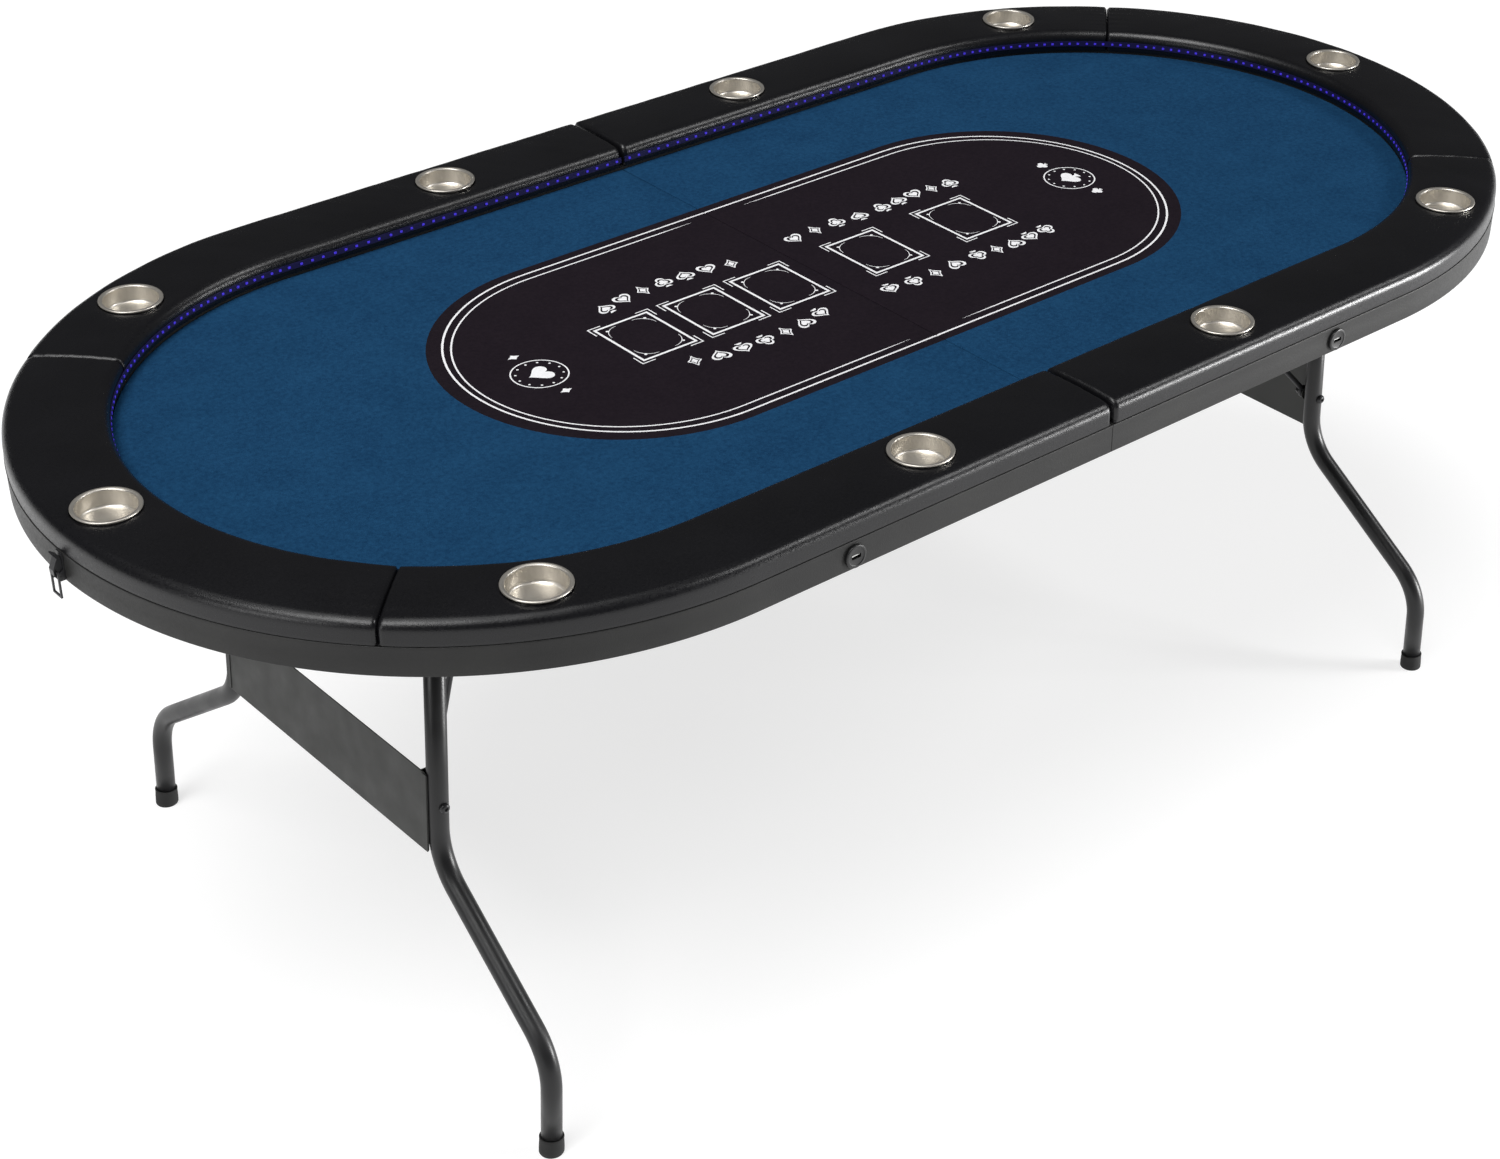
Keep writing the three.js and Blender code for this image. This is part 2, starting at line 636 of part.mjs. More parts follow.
function buildLegs(side) {
  const name = sideName(side);
  const half = new THREE.Group();
  half.rotation.z = side < 0 ? 0 : Math.PI; // built on the left and turned half round for the right
  table.add(half);
  const legs = new THREE.Group();
  legs.position.set(-PIVOT_X, 0, PIVOT_Z);
  legs.rotation.y = LEG_SPLAY;
  half.add(legs);
  add(name + "_leg_cross_tube", crossTube(), frameEnamel, legs);
  add(name + "_leg_panel", legPanel(), panelEnamel, legs);
  for (const ySign of [-1, 1]) {
    const row = name + "_" + rowName(side < 0 ? ySign : -ySign);
    add(row + "_leg_tube", legTube(ySign), frameEnamel, legs);
    add(row + "_leg_bolt", legBolt(ySign), darkHardware, legs);
    add(row + "_foot_cap", footCap(ySign), footRubber, legs);
  }
  const bolt = (PIVOT_Z - BOLT_Z) * Math.tan(LEG_SPLAY);
  const arm = add(name + "_leg_brace", brace(), darkHardware, half);
  arm.position.set(-PIVOT_X - bolt, 0, BOLT_Z);
  arm.rotation.y = Math.PI / 2 - BRACE_RISE;
  add(name + "_pivot_plate", onSide(pivotPlate(), side), zincSteel);
  add(name + "_brace_catch", onSide(braceCatch(), side), zincSteel);
}

// ---- Fold hinges ----

// A leaf on the underside whose two ears hold one pin of the link.
function hingeLeaf(side, y) {
  const top = BOARD_UNDERSIDE - FIT_GAP;
  const pivot = side * HINGE_PIVOT_X;
  const edge = y + HINGE_WIDTH / 2;
  const plateX = [side * FIT_GAP * 2, side * HINGE_REACH].sort((a, b) => a - b);
  const plate = block([plateX[0], y - HINGE_WIDTH / 2, top - 2.4], [plateX[1], edge, top]);
  const ears = [y - HINGE_WIDTH / 2, edge - 5].map((low) =>
    join(
      barY(pivot, HINGE_PIVOT_Z, 6, low, low + 5, 8),
      block([pivot - 5.5, low, HINGE_PIVOT_Z], [pivot + 5.5, low + 5, top - 1]),
    ),
  );
  const bore = barY(pivot, HINGE_PIVOT_Z, HINGE_PIN_RADIUS + 0.4, y - HINGE_WIDTH, y + HINGE_WIDTH, 12);
  return cut(join(plate, ...ears), bore);
}

// The bar between the two leaves' ears, with a pin at each end of its length.
function hingeLink(y) {
  const halfWidth = HINGE_WIDTH / 2;
  const inner = halfWidth - 5 - FIT_GAP;
  const web = block(
    [-HINGE_PIVOT_X, y - inner, HINGE_PIVOT_Z - 4],
    [HINGE_PIVOT_X, y + inner, HINGE_PIVOT_Z + 4],
  );
  const rounds = [-HINGE_PIVOT_X, HINGE_PIVOT_X].flatMap((x) => [
    barY(x, HINGE_PIVOT_Z, 5.4, y - inner, y + inner, 8),
    barY(x, HINGE_PIVOT_Z, HINGE_PIN_RADIUS, y - halfWidth, y + halfWidth, 8),
  ]);
  return join(web, ...rounds);
}

function buildHinges() {
  for (const y of [-HINGE_Y, HINGE_Y]) {
    const name = rowName(y) + "_hinge_";
    add(name + "left_leaf", hingeLeaf(-1, y), zincSteel);
    add(name + "right_leaf", hingeLeaf(1, y), zincSteel);
    add(name + "link", hingeLink(y), zincSteel);
  }
}

// ---- Draw latch: base, lever and bail on the left end, keeper on the right ----
// Its outlines count outwards from the end of the table.

const LATCH_FACE = LENGTH / 2;
const LEVER_PIN = [6, 698.5];
const BAIL_PIN = [9.5, 706];
const BAIL_DROP = 30;
const BAIL_WIRE = 2.2;
const outwards = (side, points) => shapeOf(points.map(([d, z]) => [side * (LATCH_FACE + d), z]));

function latchBase() {
  const plate = block([-LATCH_FACE - 1.9, -6.6, 694], [-LATCH_FACE - FIT_GAP, 6.6, 727]);
  const cheek = outwards(-1, [[1, 694], [9.5, 694], [9.5, 702], [1, 708]]);
  const cheeks = [-6.6, 5.4].map((y) => sideSlab(cheek, y, y + 1.2));
  const bore = barY(-LATCH_FACE - LEVER_PIN[0], LEVER_PIN[1], 1.9, -8, 8, 12);
  return cut(join(plate, ...cheeks), bore);
}

function latchLever() {
  const profile = outwards(-1, [
    [4.4, 695.2],
    [8.4, 695.2],
    [12.6, 702],
    [12.9, 709],
    [7.2, 722],
    [11, 727.5],
    [9.4, 728.6],
    [3.6, 724],
    [2.4, 716],
    [2.4, 700],
  ]);
  const body = sideSlab(profile, -4.9, 4.9);
  const pin = barY(-LATCH_FACE - LEVER_PIN[0], LEVER_PIN[1], 1.5, -6.9, 6.9, 12);
  const eye = barY(-LATCH_FACE - BAIL_PIN[0], BAIL_PIN[1], 2, -8, 8, 12);
  return cut(join(body, pin), eye);
}

// A closed wire loop through the lever's eye.
function latchBail() {
  const x = -LATCH_FACE - BAIL_PIN[0];
  const inner = 7.2;
  const outer = inner + BAIL_WIRE;
  const half = BAIL_WIRE / 2;
  const frame = (width, low, high, thickness) =>
    block([x - thickness, -width, low], [x + thickness, width, high]);
  const low = BAIL_PIN[1] - BAIL_DROP;
  return cut(
    frame(outer, low - half, BAIL_PIN[1] + half, half),
    frame(inner, low + half, BAIL_PIN[1] - half, half + 1),
  );
}

function latchKeeper() {
  const tongue = outwards(1, [
    [FIT_GAP, 722],
    [FIT_GAP, 668],
    [12.5, 668],
    [12.5, 676],
    [11.1, 676],
    [11.1, 669.5],
    [1.9, 669.5],
    [1.9, 722],
  ]);
  const plate = block([LATCH_FACE + FIT_GAP, -8, 696], [LATCH_FACE + 1.9, 8, 722]);
  return join(plate, sideSlab(tongue, -5, 5));
}

function buildLatch() {
  add("latch_base", latchBase(), zincSteel);
  add("latch_lever", latchLever(), darkHardware);
  add("latch_bail", latchBail(), zincSteel);
  add("latch_keeper", latchKeeper(), zincSteel);
}

for (const side of [-1, 1]) {
  buildTop(side);
  buildLegs(side);
}
add("light_controller", lightController(), blackPlastic);
add("power_inlet", powerInlet(), blackPlastic);
buildHinges();
buildLatch();

export default table;
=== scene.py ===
"""Folding poker table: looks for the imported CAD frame. Metres, +X along the table, +Z up."""
import json
import math

import bmesh
import bpy
import numpy as np
from mathutils import Matrix, Vector
from mathutils.geometry import delaunay_2d_cdt


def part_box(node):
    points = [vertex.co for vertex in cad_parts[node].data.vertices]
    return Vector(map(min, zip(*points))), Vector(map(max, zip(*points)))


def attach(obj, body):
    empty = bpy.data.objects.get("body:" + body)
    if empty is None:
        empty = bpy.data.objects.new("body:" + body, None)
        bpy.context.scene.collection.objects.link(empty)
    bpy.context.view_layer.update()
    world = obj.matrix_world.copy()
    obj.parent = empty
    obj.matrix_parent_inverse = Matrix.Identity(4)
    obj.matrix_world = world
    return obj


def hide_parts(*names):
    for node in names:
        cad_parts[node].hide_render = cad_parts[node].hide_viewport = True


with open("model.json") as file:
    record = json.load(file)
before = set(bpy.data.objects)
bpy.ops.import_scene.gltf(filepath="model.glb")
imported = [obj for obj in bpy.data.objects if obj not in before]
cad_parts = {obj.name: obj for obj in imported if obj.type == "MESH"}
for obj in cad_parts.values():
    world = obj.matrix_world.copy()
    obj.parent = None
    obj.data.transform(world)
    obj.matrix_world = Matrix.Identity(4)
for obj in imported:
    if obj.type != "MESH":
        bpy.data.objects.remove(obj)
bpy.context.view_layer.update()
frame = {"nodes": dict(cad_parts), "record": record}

SIDES = {"left": -1, "right": 1}
ROWS = {"near": -1, "far": 1}


# ---- camera
SENSOR_WIDTH = 36
LENS = 67.5336  # millimetres, as the sensor's width is
SHIFT_X, SHIFT_Y = -0.1058, -0.00067


def make_camera():
    """A camera above the near left corner, looking down across the table."""
    data = bpy.data.cameras.new("camera")
    camera = bpy.data.objects.new("camera", data)
    bpy.context.collection.objects.link(camera)
    right = Vector((0.74318, -0.66875, 0.02130))
    down = Vector((-0.34434, -0.40957, -0.84480))
    ahead = Vector((0.57369, 0.62050, -0.53466))
    turn = Matrix((right, -down, -ahead)).transposed()
    camera.matrix_world = Matrix.Translation((-2.1315, -2.4932, 2.3346)) @ turn.to_4x4()
    data.sensor_width = SENSOR_WIDTH
    data.lens = LENS
    data.shift_x, data.shift_y = SHIFT_X, SHIFT_Y
    data.clip_end = 100
    bpy.context.scene.camera = camera


make_camera()


# ---- dimensions, from the frame
def centre_of(node):
    """The middle of a CAD piece's box."""
    return [(a + b) / 2 for a, b in zip(*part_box(node))]


apron_low, apron_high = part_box("left_apron")
pad_low, pad_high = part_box("left_near_rail_pad")
felt_low, felt_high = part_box("left_felt")
tube_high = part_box("left_leg_cross_tube")[1]
foot_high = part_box("left_near_foot_cap")[1]
MM = 0.001
QUARTER_TURN = math.pi / 2
FIT_GAP = 0.4 * MM  # between a piece and the one it is fitted to
END_RADIUS = apron_high[1]
END_CENTRE = -apron_low[0] - END_RADIUS
APRON_BOTTOM, APRON_TOP = apron_low[2], apron_high[2]
RAIL_BOTTOM, RAIL_TOP = pad_low[2], pad_high[2]
FELT_BOTTOM, FELT_TOP = felt_low[2], felt_high[2]
FELT_OFFSET = END_RADIUS - felt_high[1]
RIM_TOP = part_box("left_end_cup")[1][2]
RAIL_WIDTH = 119 * MM
FOLD_GAP = 0.4 * MM
PAD_FOLD_GAP = 3 * MM
PAD_SPLIT_GAP = 0.5 * MM
APRON_WALL = 12 * MM
SPLIT_ANGLE = math.pi / 4
TUBE_RADIUS = 12.7 * MM
LEG_SPLAY = math.radians(3.1)
LEG_BEND_TOP_Z, LEG_BEND_BOTTOM_Z = 294 * MM, 135 * MM
LEG_BEND_RADIUS = 85 * MM
LEG_TOP_Y = tube_high[1] - TUBE_RADIUS
LEG_FOOT_Y = -centre_of("left_near_foot_cap")[1]
BOLT_Z = 371 * MM
PANEL_BOTTOM_Z, PANEL_TOP_Z = 306 * MM, 416 * MM
PANEL_SHEET, PANEL_FLANGE, PANEL_EAR = 1.5 * MM, 14 * MM, 10 * MM
BRACE_LENGTH, BRACE_RISE = 401 * MM, math.radians(54.6)
BRACE_ARM_Y, BRACE_TOP_Y = 204.6 * MM, 30 * MM
BRACE_RADIUS, BRACE_BEND_RADIUS = 4 * MM, 20 * MM
CUPS = {
    (side, place): centre_of(f"{side}_{place}_cup")
    for side in SIDES
    for place in ("near_mid", "near_corner", "end", "far_corner", "far_mid")
}
JOINTS = {joint["name"]: joint for joint in frame["record"]["behaviour"]["joints"]}
PIVOT_Z = JOINTS["left_legs_fold"]["pos_m"][2]


# ---- material helpers
def srgb(red, green, blue):
    """Linear colour of 0-255 screen values."""
    return [((value / 255 + 0.055) / 1.055) ** 2.4 if value > 10 else value / 3294.6
            for value in (red, green, blue)] + [1.0]


class Nodes:
    """A small builder for a Principled material."""

    def __init__(self, name, colour, roughness, metallic=0.0, **values):
        self.material = bpy.data.materials.new(name)
        self.material.use_nodes = True
        self.tree = self.material.node_tree
        self.shader = self.tree.nodes["Principled BSDF"]
        self.shader.inputs["Base Color"].default_value = colour
        self.shader.inputs["Roughness"].default_value = roughness
        self.shader.inputs["Metallic"].default_value = metallic
        for key, value in values.items():
            self.shader.inputs[key.replace("_", " ")].default_value = value

    def add(self, kind, inputs=None, **properties):
        node = self.tree.nodes.new(kind)
        for key, value in properties.items():
            setattr(node, key, value)
        for key, value in (inputs or {}).items():
            if isinstance(value, bpy.types.NodeSocket):
                self.tree.links.new(value, node.inputs[key])
            else:
                node.inputs[key].default_value = value
        return node

    def link(self, socket, name):
        self.tree.links.new(socket, self.shader.inputs[name])

    def place(self, scale=(1, 1, 1)):
        """Object coordinates, stretched by scale."""
        inputs = {"Vector": self.add("ShaderNodeTexCoord").outputs["Object"], "Scale": scale}
        return self.add("ShaderNodeMapping", inputs).outputs[0]

    def noise(self, scale, detail=3.0, roughness=0.5, vector=None):
        inputs = {"Scale": scale, "Detail": detail, "Roughness": roughness,
                  "Vector": vector or self.place()}
        return self.add("ShaderNodeTexNoise", inputs).outputs["Fac"]

    def cells(self, scale):
        inputs = {"Scale": scale, "Vector": self.place()}
        return self.add("ShaderNodeTexVoronoi", inputs).outputs["Distance"]

    def remap(self, value, low, high, to_low=0.0, to_high=1.0):
        inputs = {"Value": value, "From Min": low, "From Max": high, "To Min": to_low, "To Max": to_high}
        return self.add("ShaderNodeMapRange", inputs).outputs["Result"]

    def maths(self, operation, a, b=0.5):
        return self.add("ShaderNodeMath", {0: a, 1: b}, operation=operation).outputs[0]

    def mix(self, factor, a, b):
        return self.add("ShaderNodeMix", {0: factor, 6: a, 7: b}, data_type="RGBA").outputs[2]

    def bump(self, height, strength, distance):
        inputs = {"Height": height, "Strength": strength, "Distance": distance}
        return self.add("ShaderNodeBump", inputs).outputs[0]


def vinyl(name, colour, worn, roughness, grain, gloss):
    """Leather-look vinyl: pebbled grain, soft sheen, a little uneven wear."""
    m = Nodes(name, colour, roughness, Specular_IOR_Level=gloss)
    pebbles = m.cells(grain)
    creases = m.noise(grain * 0.35, 4, 0.6)
    broad = m.noise(9, 3)
    height = m.maths("ADD", m.maths("MULTIPLY", pebbles, -0.8), m.maths("MULTIPLY", creases, 0.5))
    m.link(m.bump(height, 0.35, 0.35 * MM), "Normal")
    m.link(m.mix(m.remap(broad, 0.35, 0.75), colour, worn), "Base Color")
    m.link(m.remap(creases, 0.3, 0.7, roughness - 0.05, roughness + 0.07), "Roughness")
    return m.material


def playing_cloth(name, colour, other):
    """Short-pile cloth: a fine fleck and small tufts over a slow cloudiness."""
    m = Nodes(name, colour, 0.95, Specular_IOR_Level=0.05)
    fleck = m.noise(900, 4, 0.65)
    tufts = m.noise(170, 5, 0.75)
    cloud = m.noise(14, 4, 0.6)
    fine = m.maths("ADD", m.maths("MULTIPLY", fleck, 0.4), m.maths("MULTIPLY", tufts, 0.45))
    mixed = m.maths("ADD", fine, m.maths("MULTIPLY", cloud, 0.15))
    m.link(m.mix(m.remap(mixed, 0.4, 0.6), colour, other), "Base Color")
    m.link(m.bump(fleck, 0.3, 0.4 * MM), "Normal")
    return m.material


def powder_coat(name, colour, roughness):
    """Powder-coated steel: a fine orange peel and a few dull patches."""
    m = Nodes(name, colour, roughness, 0.0, Specular_IOR_Level=0.4)
    peel = m.noise(700, 2)
    patch = m.noise(22, 4, 0.6)
    m.link(m.bump(peel, 0.16, 0.25 * MM), "Normal")
    m.link(m.remap(patch, 0.3, 0.7, roughness - 0.07, roughness + 0.08), "Roughness")
    brighter = [min(1, value * 1.25) for value in colour[:3]] + [1]
    m.link(m.mix(m.remap(patch, 0.4, 0.8), colour, brighter), "Base Color")
    return m.material


def spun_steel(name, colour, roughness):
    """Steel brushed round its own axis."""
    m = Nodes(name, colour, roughness, 0.85)
    axis = m.add("ShaderNodeSeparateXYZ", {0: m.add("ShaderNodeTexCoord").outputs["Object"]})
    x, y, z = axis.outputs
    radius = m.maths("SQRT", m.maths("ADD", m.maths("MULTIPLY", x, x), m.maths("MULTIPLY", y, y)))
    angle = m.maths("ARCTAN2", y, x)
    along = m.add("ShaderNodeCombineXYZ", {0: m.maths("MULTIPLY", radius, 3200),
                                           1: m.maths("MULTIPLY", angle, 2.5),
                                           2: m.maths("MULTIPLY", z, 3200)}).outputs[0]
    lines = m.noise(1.0, 3, 0.7, vector=along)
    smudge = m.noise(60, 3)
    m.link(m.bump(lines, 0.22, 0.12 * MM), "Normal")
    rough = m.maths("ADD", m.remap(lines, 0.3, 0.7, roughness - 0.06, roughness + 0.07),
                    m.remap(smudge, 0.4, 0.7, 0.0, 0.05))
    m.link(rough, "Roughness")
    return m.material


def plated_steel(name, colour, roughness):
    """Zinc-plated pressed steel with a faint spangle and drawing lines."""
    m = Nodes(name, colour, roughness, 1.0)
    spangle = m.cells(260)
    lines = m.noise(1.0, 3, vector=m.place((60, 2500, 2500)))
    both = m.maths("ADD", spangle, lines)
    m.link(m.remap(both, 0.3, 1.2, roughness - 0.08, roughness + 0.12), "Roughness")
    m.link(m.bump(lines, 0.1, 0.1 * MM), "Normal")
    return m.material


def moulded(name, colour, roughness):
    """Moulded plastic or rubber with a fine spark-eroded texture."""
    m = Nodes(name, colour, roughness)
    m.link(m.bump(m.noise(900, 3), 0.18, 0.2 * MM), "Normal")
    m.link(m.remap(m.noise(30, 3), 0.3, 0.7, roughness - 0.05, roughness + 0.08), "Roughness")
    return m.material


def painted_board(name, colour, roughness):
    """Fibreboard under thin dark paint: faint fibres and brush streaks."""
    m = Nodes(name, colour, roughness)
    fibres = m.noise(1.0, 4, 0.7, vector=m.place((25, 420, 420)))
    specks = m.noise(500, 2)
    lighter = [value * 1.7 for value in colour[:3]] + [1]
    m.link(m.mix(m.remap(fibres, 0.35, 0.75), colour, lighter), "Base Color")
    m.link(m.bump(m.maths("ADD", fibres, specks), 0.15, 0.2 * MM), "Normal")
    return m.material


def glowing(name, colour, strength):
    m = Nodes(name, colour, 0.4)
    m.shader.inputs["Emission Color"].default_value = colour
    m.shader.inputs["Emission Strength"].default_value = strength
    m.link(m.bump(m.noise(800), 0.1, 0.1 * MM), "Normal")
    return m.material


RAIL_VINYL = vinyl("rail_vinyl", srgb(12, 12, 15), srgb(17, 17, 20), 0.3, 900, 0.42)
APRON_VINYL = vinyl("apron_vinyl", srgb(35, 35, 35), srgb(43, 43, 42), 0.45, 700, 0.28)
BLUE_CLOTH = playing_cloth("blue_cloth", srgb(17, 51, 82), srgb(29, 71, 106))
DARK_CLOTH = playing_cloth("dark_cloth", srgb(26, 21, 27), srgb(34, 28, 34))
WHITE_PRINT = playing_cloth("white_print", srgb(232, 232, 234), srgb(246, 246, 248))
BASEBOARD = painted_board("baseboard", srgb(42, 40, 38), 0.7)
CUP_STEEL = spun_steel("cup_steel", srgb(214, 209, 200), 0.34)
FRAME_ENAMEL = powder_coat("frame_enamel", srgb(28, 28, 29), 0.36)
PANEL_ENAMEL = powder_coat("panel_enamel", srgb(40, 41, 39), 0.5)
FOOT_RUBBER = moulded("foot_rubber", srgb(22, 22, 22), 0.75)
DARK_HARDWARE = powder_coat("dark_hardware", srgb(38, 38, 40), 0.32)
ZINC_STEEL = plated_steel("zinc_steel", srgb(190, 190, 188), 0.3)
BLACK_PLASTIC = moulded("black_plastic", srgb(18, 18, 19), 0.35)
WHITE_PLASTIC = moulded("white_plastic", srgb(225, 225, 222), 0.4)
LAMP_GLOW = glowing("lamp_glow", srgb(78, 60, 235), 0.22)
STRIP_GLOW = glowing("strip_glow", srgb(24, 18, 66), 0.12)


# ---- mesh helpers
def piece(name, verts, faces, material, body, replaces=(), slot=None, smooth=True):
    """A named mesh object that rides on a CAD body. material may be a list."""
    mesh = bpy.data.meshes.new(name)
    mesh.from_pydata([tuple(v) for v in verts], [], [tuple(f) for f in faces])
    for entry in material if isinstance(material, list) else [material]:
        mesh.materials.append(entry)
    tidy = bmesh.new()
    tidy.from_mesh(mesh)
    bmesh.ops.delete(tidy, geom=[v for v in tidy.verts if not v.link_faces], context="VERTS")
    bmesh.ops.recalc_face_normals(tidy, faces=tidy.faces)
    tidy.to_mesh(mesh)
    tidy.free()
    obj = bpy.data.objects.new(name, mesh)
    bpy.context.collection.objects.link(obj)
    mesh.polygons.foreach_set("use_smooth", [smooth] * len(mesh.polygons))
    if body:
        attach(obj, body)
    if replaces:
        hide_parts(*([replaces] if isinstance(replaces, str) else replaces))
    return obj


def soften(obj, width, segments=2, angle=35):
    """Rounds the sharp edges and shades by angle."""
    bevel = obj.modifiers.new("bevel", "BEVEL")
    bevel.width = width
    bevel.segments = segments
    bevel.limit_method = "ANGLE"
    bevel.angle_limit = math.radians(angle)
    bevel.harden_normals = True


def grid_faces(rows, columns, closed_rows=False):
    """Quads over rows of points. Each row wraps round, and so do the rows when closed."""
    faces = []
    for r in range(rows if closed_rows else rows - 1):
        for c in range(columns):
            r2, c2 = (r + 1) % rows, (c + 1) % columns
            faces.append((r * columns + c, r * columns + c2, r2 * columns + c2, r2 * columns + c))
    return faces


def loft(rings):
    """Vertices and faces of a skin over closed rings, with flat ends."""
    count = len(rings[0])
    verts = [point for ring in rings for point in ring]
    faces = grid_faces(len(rings), count)
    last = (len(rings) - 1) * count
    faces += [tuple(range(count)), tuple(range(last, last + count))]
    return verts, faces


def lathe(profile, segments=96):
    """A surface of revolution about Z. The profile's ends lie on the axis."""
    inner = profile[1:-1]
    verts = [(0, 0, profile[0][1]), (0, 0, profile[-1][1])]
    for k in range(segments):
        a = 2 * math.pi * k / segments
        verts += [(r * math.cos(a), r * math.sin(a), z) for r, z in inner]
    n = len(inner)
    faces = []
    for k in range(segments):
        a, b = 2 + k * n, 2 + ((k + 1) % segments) * n
        faces += [(a + i, b + i, b + i + 1, a + i + 1) for i in range(n - 1)]
        faces += [(0, b, a), (1, a + n - 1, b + n - 1)]
    return verts, faces


def arc(cx, cy, radius, start, end, steps):
    """Points on an arc, angles in degrees."""
    return [(cx + radius * math.cos(math.radians(start + (end - start) * i / steps)),
             cy + radius * math.sin(math.radians(start + (end - start) * i / steps)))
            for i in range(steps + 1)]


def circle(x, y, radius):
    return arc(x, y, radius, 0, 352.5, 47)


def turned(section, segments=48):
    """A closed (radius, z) section carried once round Z."""
    turns = [2 * math.pi * k / segments for k in range(segments)]
    verts = [(r * math.cos(a), r * math.sin(a), z) for a in turns for r, z in section]
    return verts, grid_faces(segments, len(section), closed_rows=True)


def hollow_bar(outer, inner, length, segments=48):
    """A tube about Z, centred, with slightly rounded ends."""
    half, r = length / 2, 0.5 * MM
    upper = [(outer, half - r), (outer - r, half), (inner + r, half), (inner, half - r)]
    return turned([(radius, -z) for radius, z in reversed(upper)] + upper, segments)


def drum(radius, length, rounding=0.0, segments=48):
    """A cylinder about Z, centred, with rounded ends."""
    half = length / 2
    side = [(radius, -half), (radius, half)]
    if rounding:
        side = arc(radius - rounding, -half + rounding, rounding, -90, 0, 4)
        side += arc(radius - rounding, half - rounding, rounding, 0, 90, 4)
    return lathe([(0, -half), *side, (0, half)], segments)


def rounded_box(width, height, depth, radius, steps=3):
    """A box about the origin whose outline in x and y has round corners."""
    w, h = width / 2 - radius, height / 2 - radius
    loop = []
    for cx, cy, start in ((w, h, 0), (-w, h, 90), (-w, -h, 180), (w, -h, 270)):
        loop += arc(cx, cy, radius, start, start + 90, steps)
    return loft([[Vector((x, y, z)) for x, y in loop] for z in (-depth / 2, depth / 2)])


def rounded_path(corners, radius, steps):
    """A polyline whose corners are turned into arcs."""
    path = [corners[0]]
    for before, corner, after in zip(corners, corners[1:], corners[2:]):
        back, ahead = (before - corner).normalized(), (after - corner).normalized()
        half = back.angle(ahead) / 2
        centre = corner + (back + ahead).normalized() * (radius / math.sin(half))
        tangent = radius / math.tan(half)
        start, end = corner + back * tangent - centre, corner + ahead * tangent - centre
        turn = start.angle(end)
        for s in range(steps + 1):
            a = turn * s / steps
            path.append(centre + start * (math.sin(turn - a) / math.sin(turn))
                        + end * (math.sin(a) / math.sin(turn)))
    path.append(corners[-1])
    return path


def tube_rings(path, radius, sides=32):
    """Circles along a path that lies in a plane of constant x."""
    across = Vector((1, 0, 0))
    rings = []
    for i, point in enumerate(path):
        ahead = (path[min(i + 1, len(path) - 1)] - path[max(i - 1, 0)]).normalized()
        side = ahead.cross(across).normalized()
        rings.append([point + side * x + across * y
                      for x, y in arc(0, 0, radius, 0, 360 - 360 / sides, sides - 1)])
    return rings


def merged(*parts):
    """Several (verts, faces) as one."""
    verts, faces = [], []
    for part_verts, part_faces in parts:
        start = len(verts)
        verts += list(part_verts)
        faces += [tuple(i + start for i in f) for f in part_faces]
    return verts, faces


TO_NEAR = Matrix.Rotation(QUARTER_TURN, 4, "X")  # a part's +Z axis turned to face the near side


def placed(part, matrix):
    verts, faces = part
    return [matrix @ Vector(v) for v in verts], faces


def carved(obj, cutter_part):
    """Cuts another closed shape out of obj."""
    cutter = piece("cutter", *cutter_part, BLACK_PLASTIC, None)
    modifier = obj.modifiers.new("cut", "BOOLEAN")
    modifier.operation = "DIFFERENCE"
    modifier.object = cutter
    modifier.solver = "EXACT"
    evaluated = obj.evaluated_get(bpy.context.evaluated_depsgraph_get())
    mesh = bpy.data.meshes.new_from_object(evaluated)
    obj.modifiers.clear()
    obj.data = mesh
    bpy.data.objects.remove(cutter)


# ---- outline of the top
def outline(side, angle_from, angle_to, x_start, spacing):
    """(point, inward normal, distance) along the table's edge, from near to far round one end."""
    straight = END_CENTRE - x_start
    count = max(1, round(straight / spacing))
    near = [(x_start + straight * i / count, -END_RADIUS, 0.0, 1.0) for i in range(count)]
    count = max(1, round((angle_to - angle_from) * END_RADIUS / spacing))
    turns = [angle_from + (angle_to - angle_from) * i / count for i in range(count + 1)]
    raw = [(END_CENTRE + END_RADIUS * math.cos(a), END_RADIUS * math.sin(a), -math.cos(a), -math.sin(a))
           for a in turns]
    if angle_from <= -QUARTER_TURN:
        raw = near + raw
    if angle_to >= QUARTER_TURN:
        raw += [(x, -y, nx, -ny) for x, y, nx, ny in reversed(near)]
    path, travelled = [], 0.0
    before = raw[0]
    for x, y, nx, ny in raw:
        travelled += math.hypot(x - before[0], y - before[1])
        before = (x, y)
        path.append((Vector((side * x, y, 0)), Vector((side * nx, ny, 0)), travelled))
    return path


def swept(section, path):
    """A closed skin: the section's (inward offset, z) points carried along the path."""
    return loft([[point + inward * offset + Vector((0, 0, z)) for offset, z in section]
                 for point, inward, _ in path])


def whole_half(side, x_start, spacing=12 * MM):
    return outline(side, -QUARTER_TURN, QUARTER_TURN, x_start, spacing)


# ---- rail pads
def waves(seed, count, low, high):
    """A smooth function of one number: a sum of sines with seeded lengths and phases."""
    random = np.random.default_rng(seed)
    lengths = random.uniform(low, high, count)
    phases = random.uniform(0, 2 * math.pi, count)
    weights = random.uniform(0.5, 1.0, count)
    weights /= weights.sum()
    return lambda s: sum(w * np.sin(2 * math.pi * s / n + p)
                         for w, n, p in zip(weights, lengths, phases))


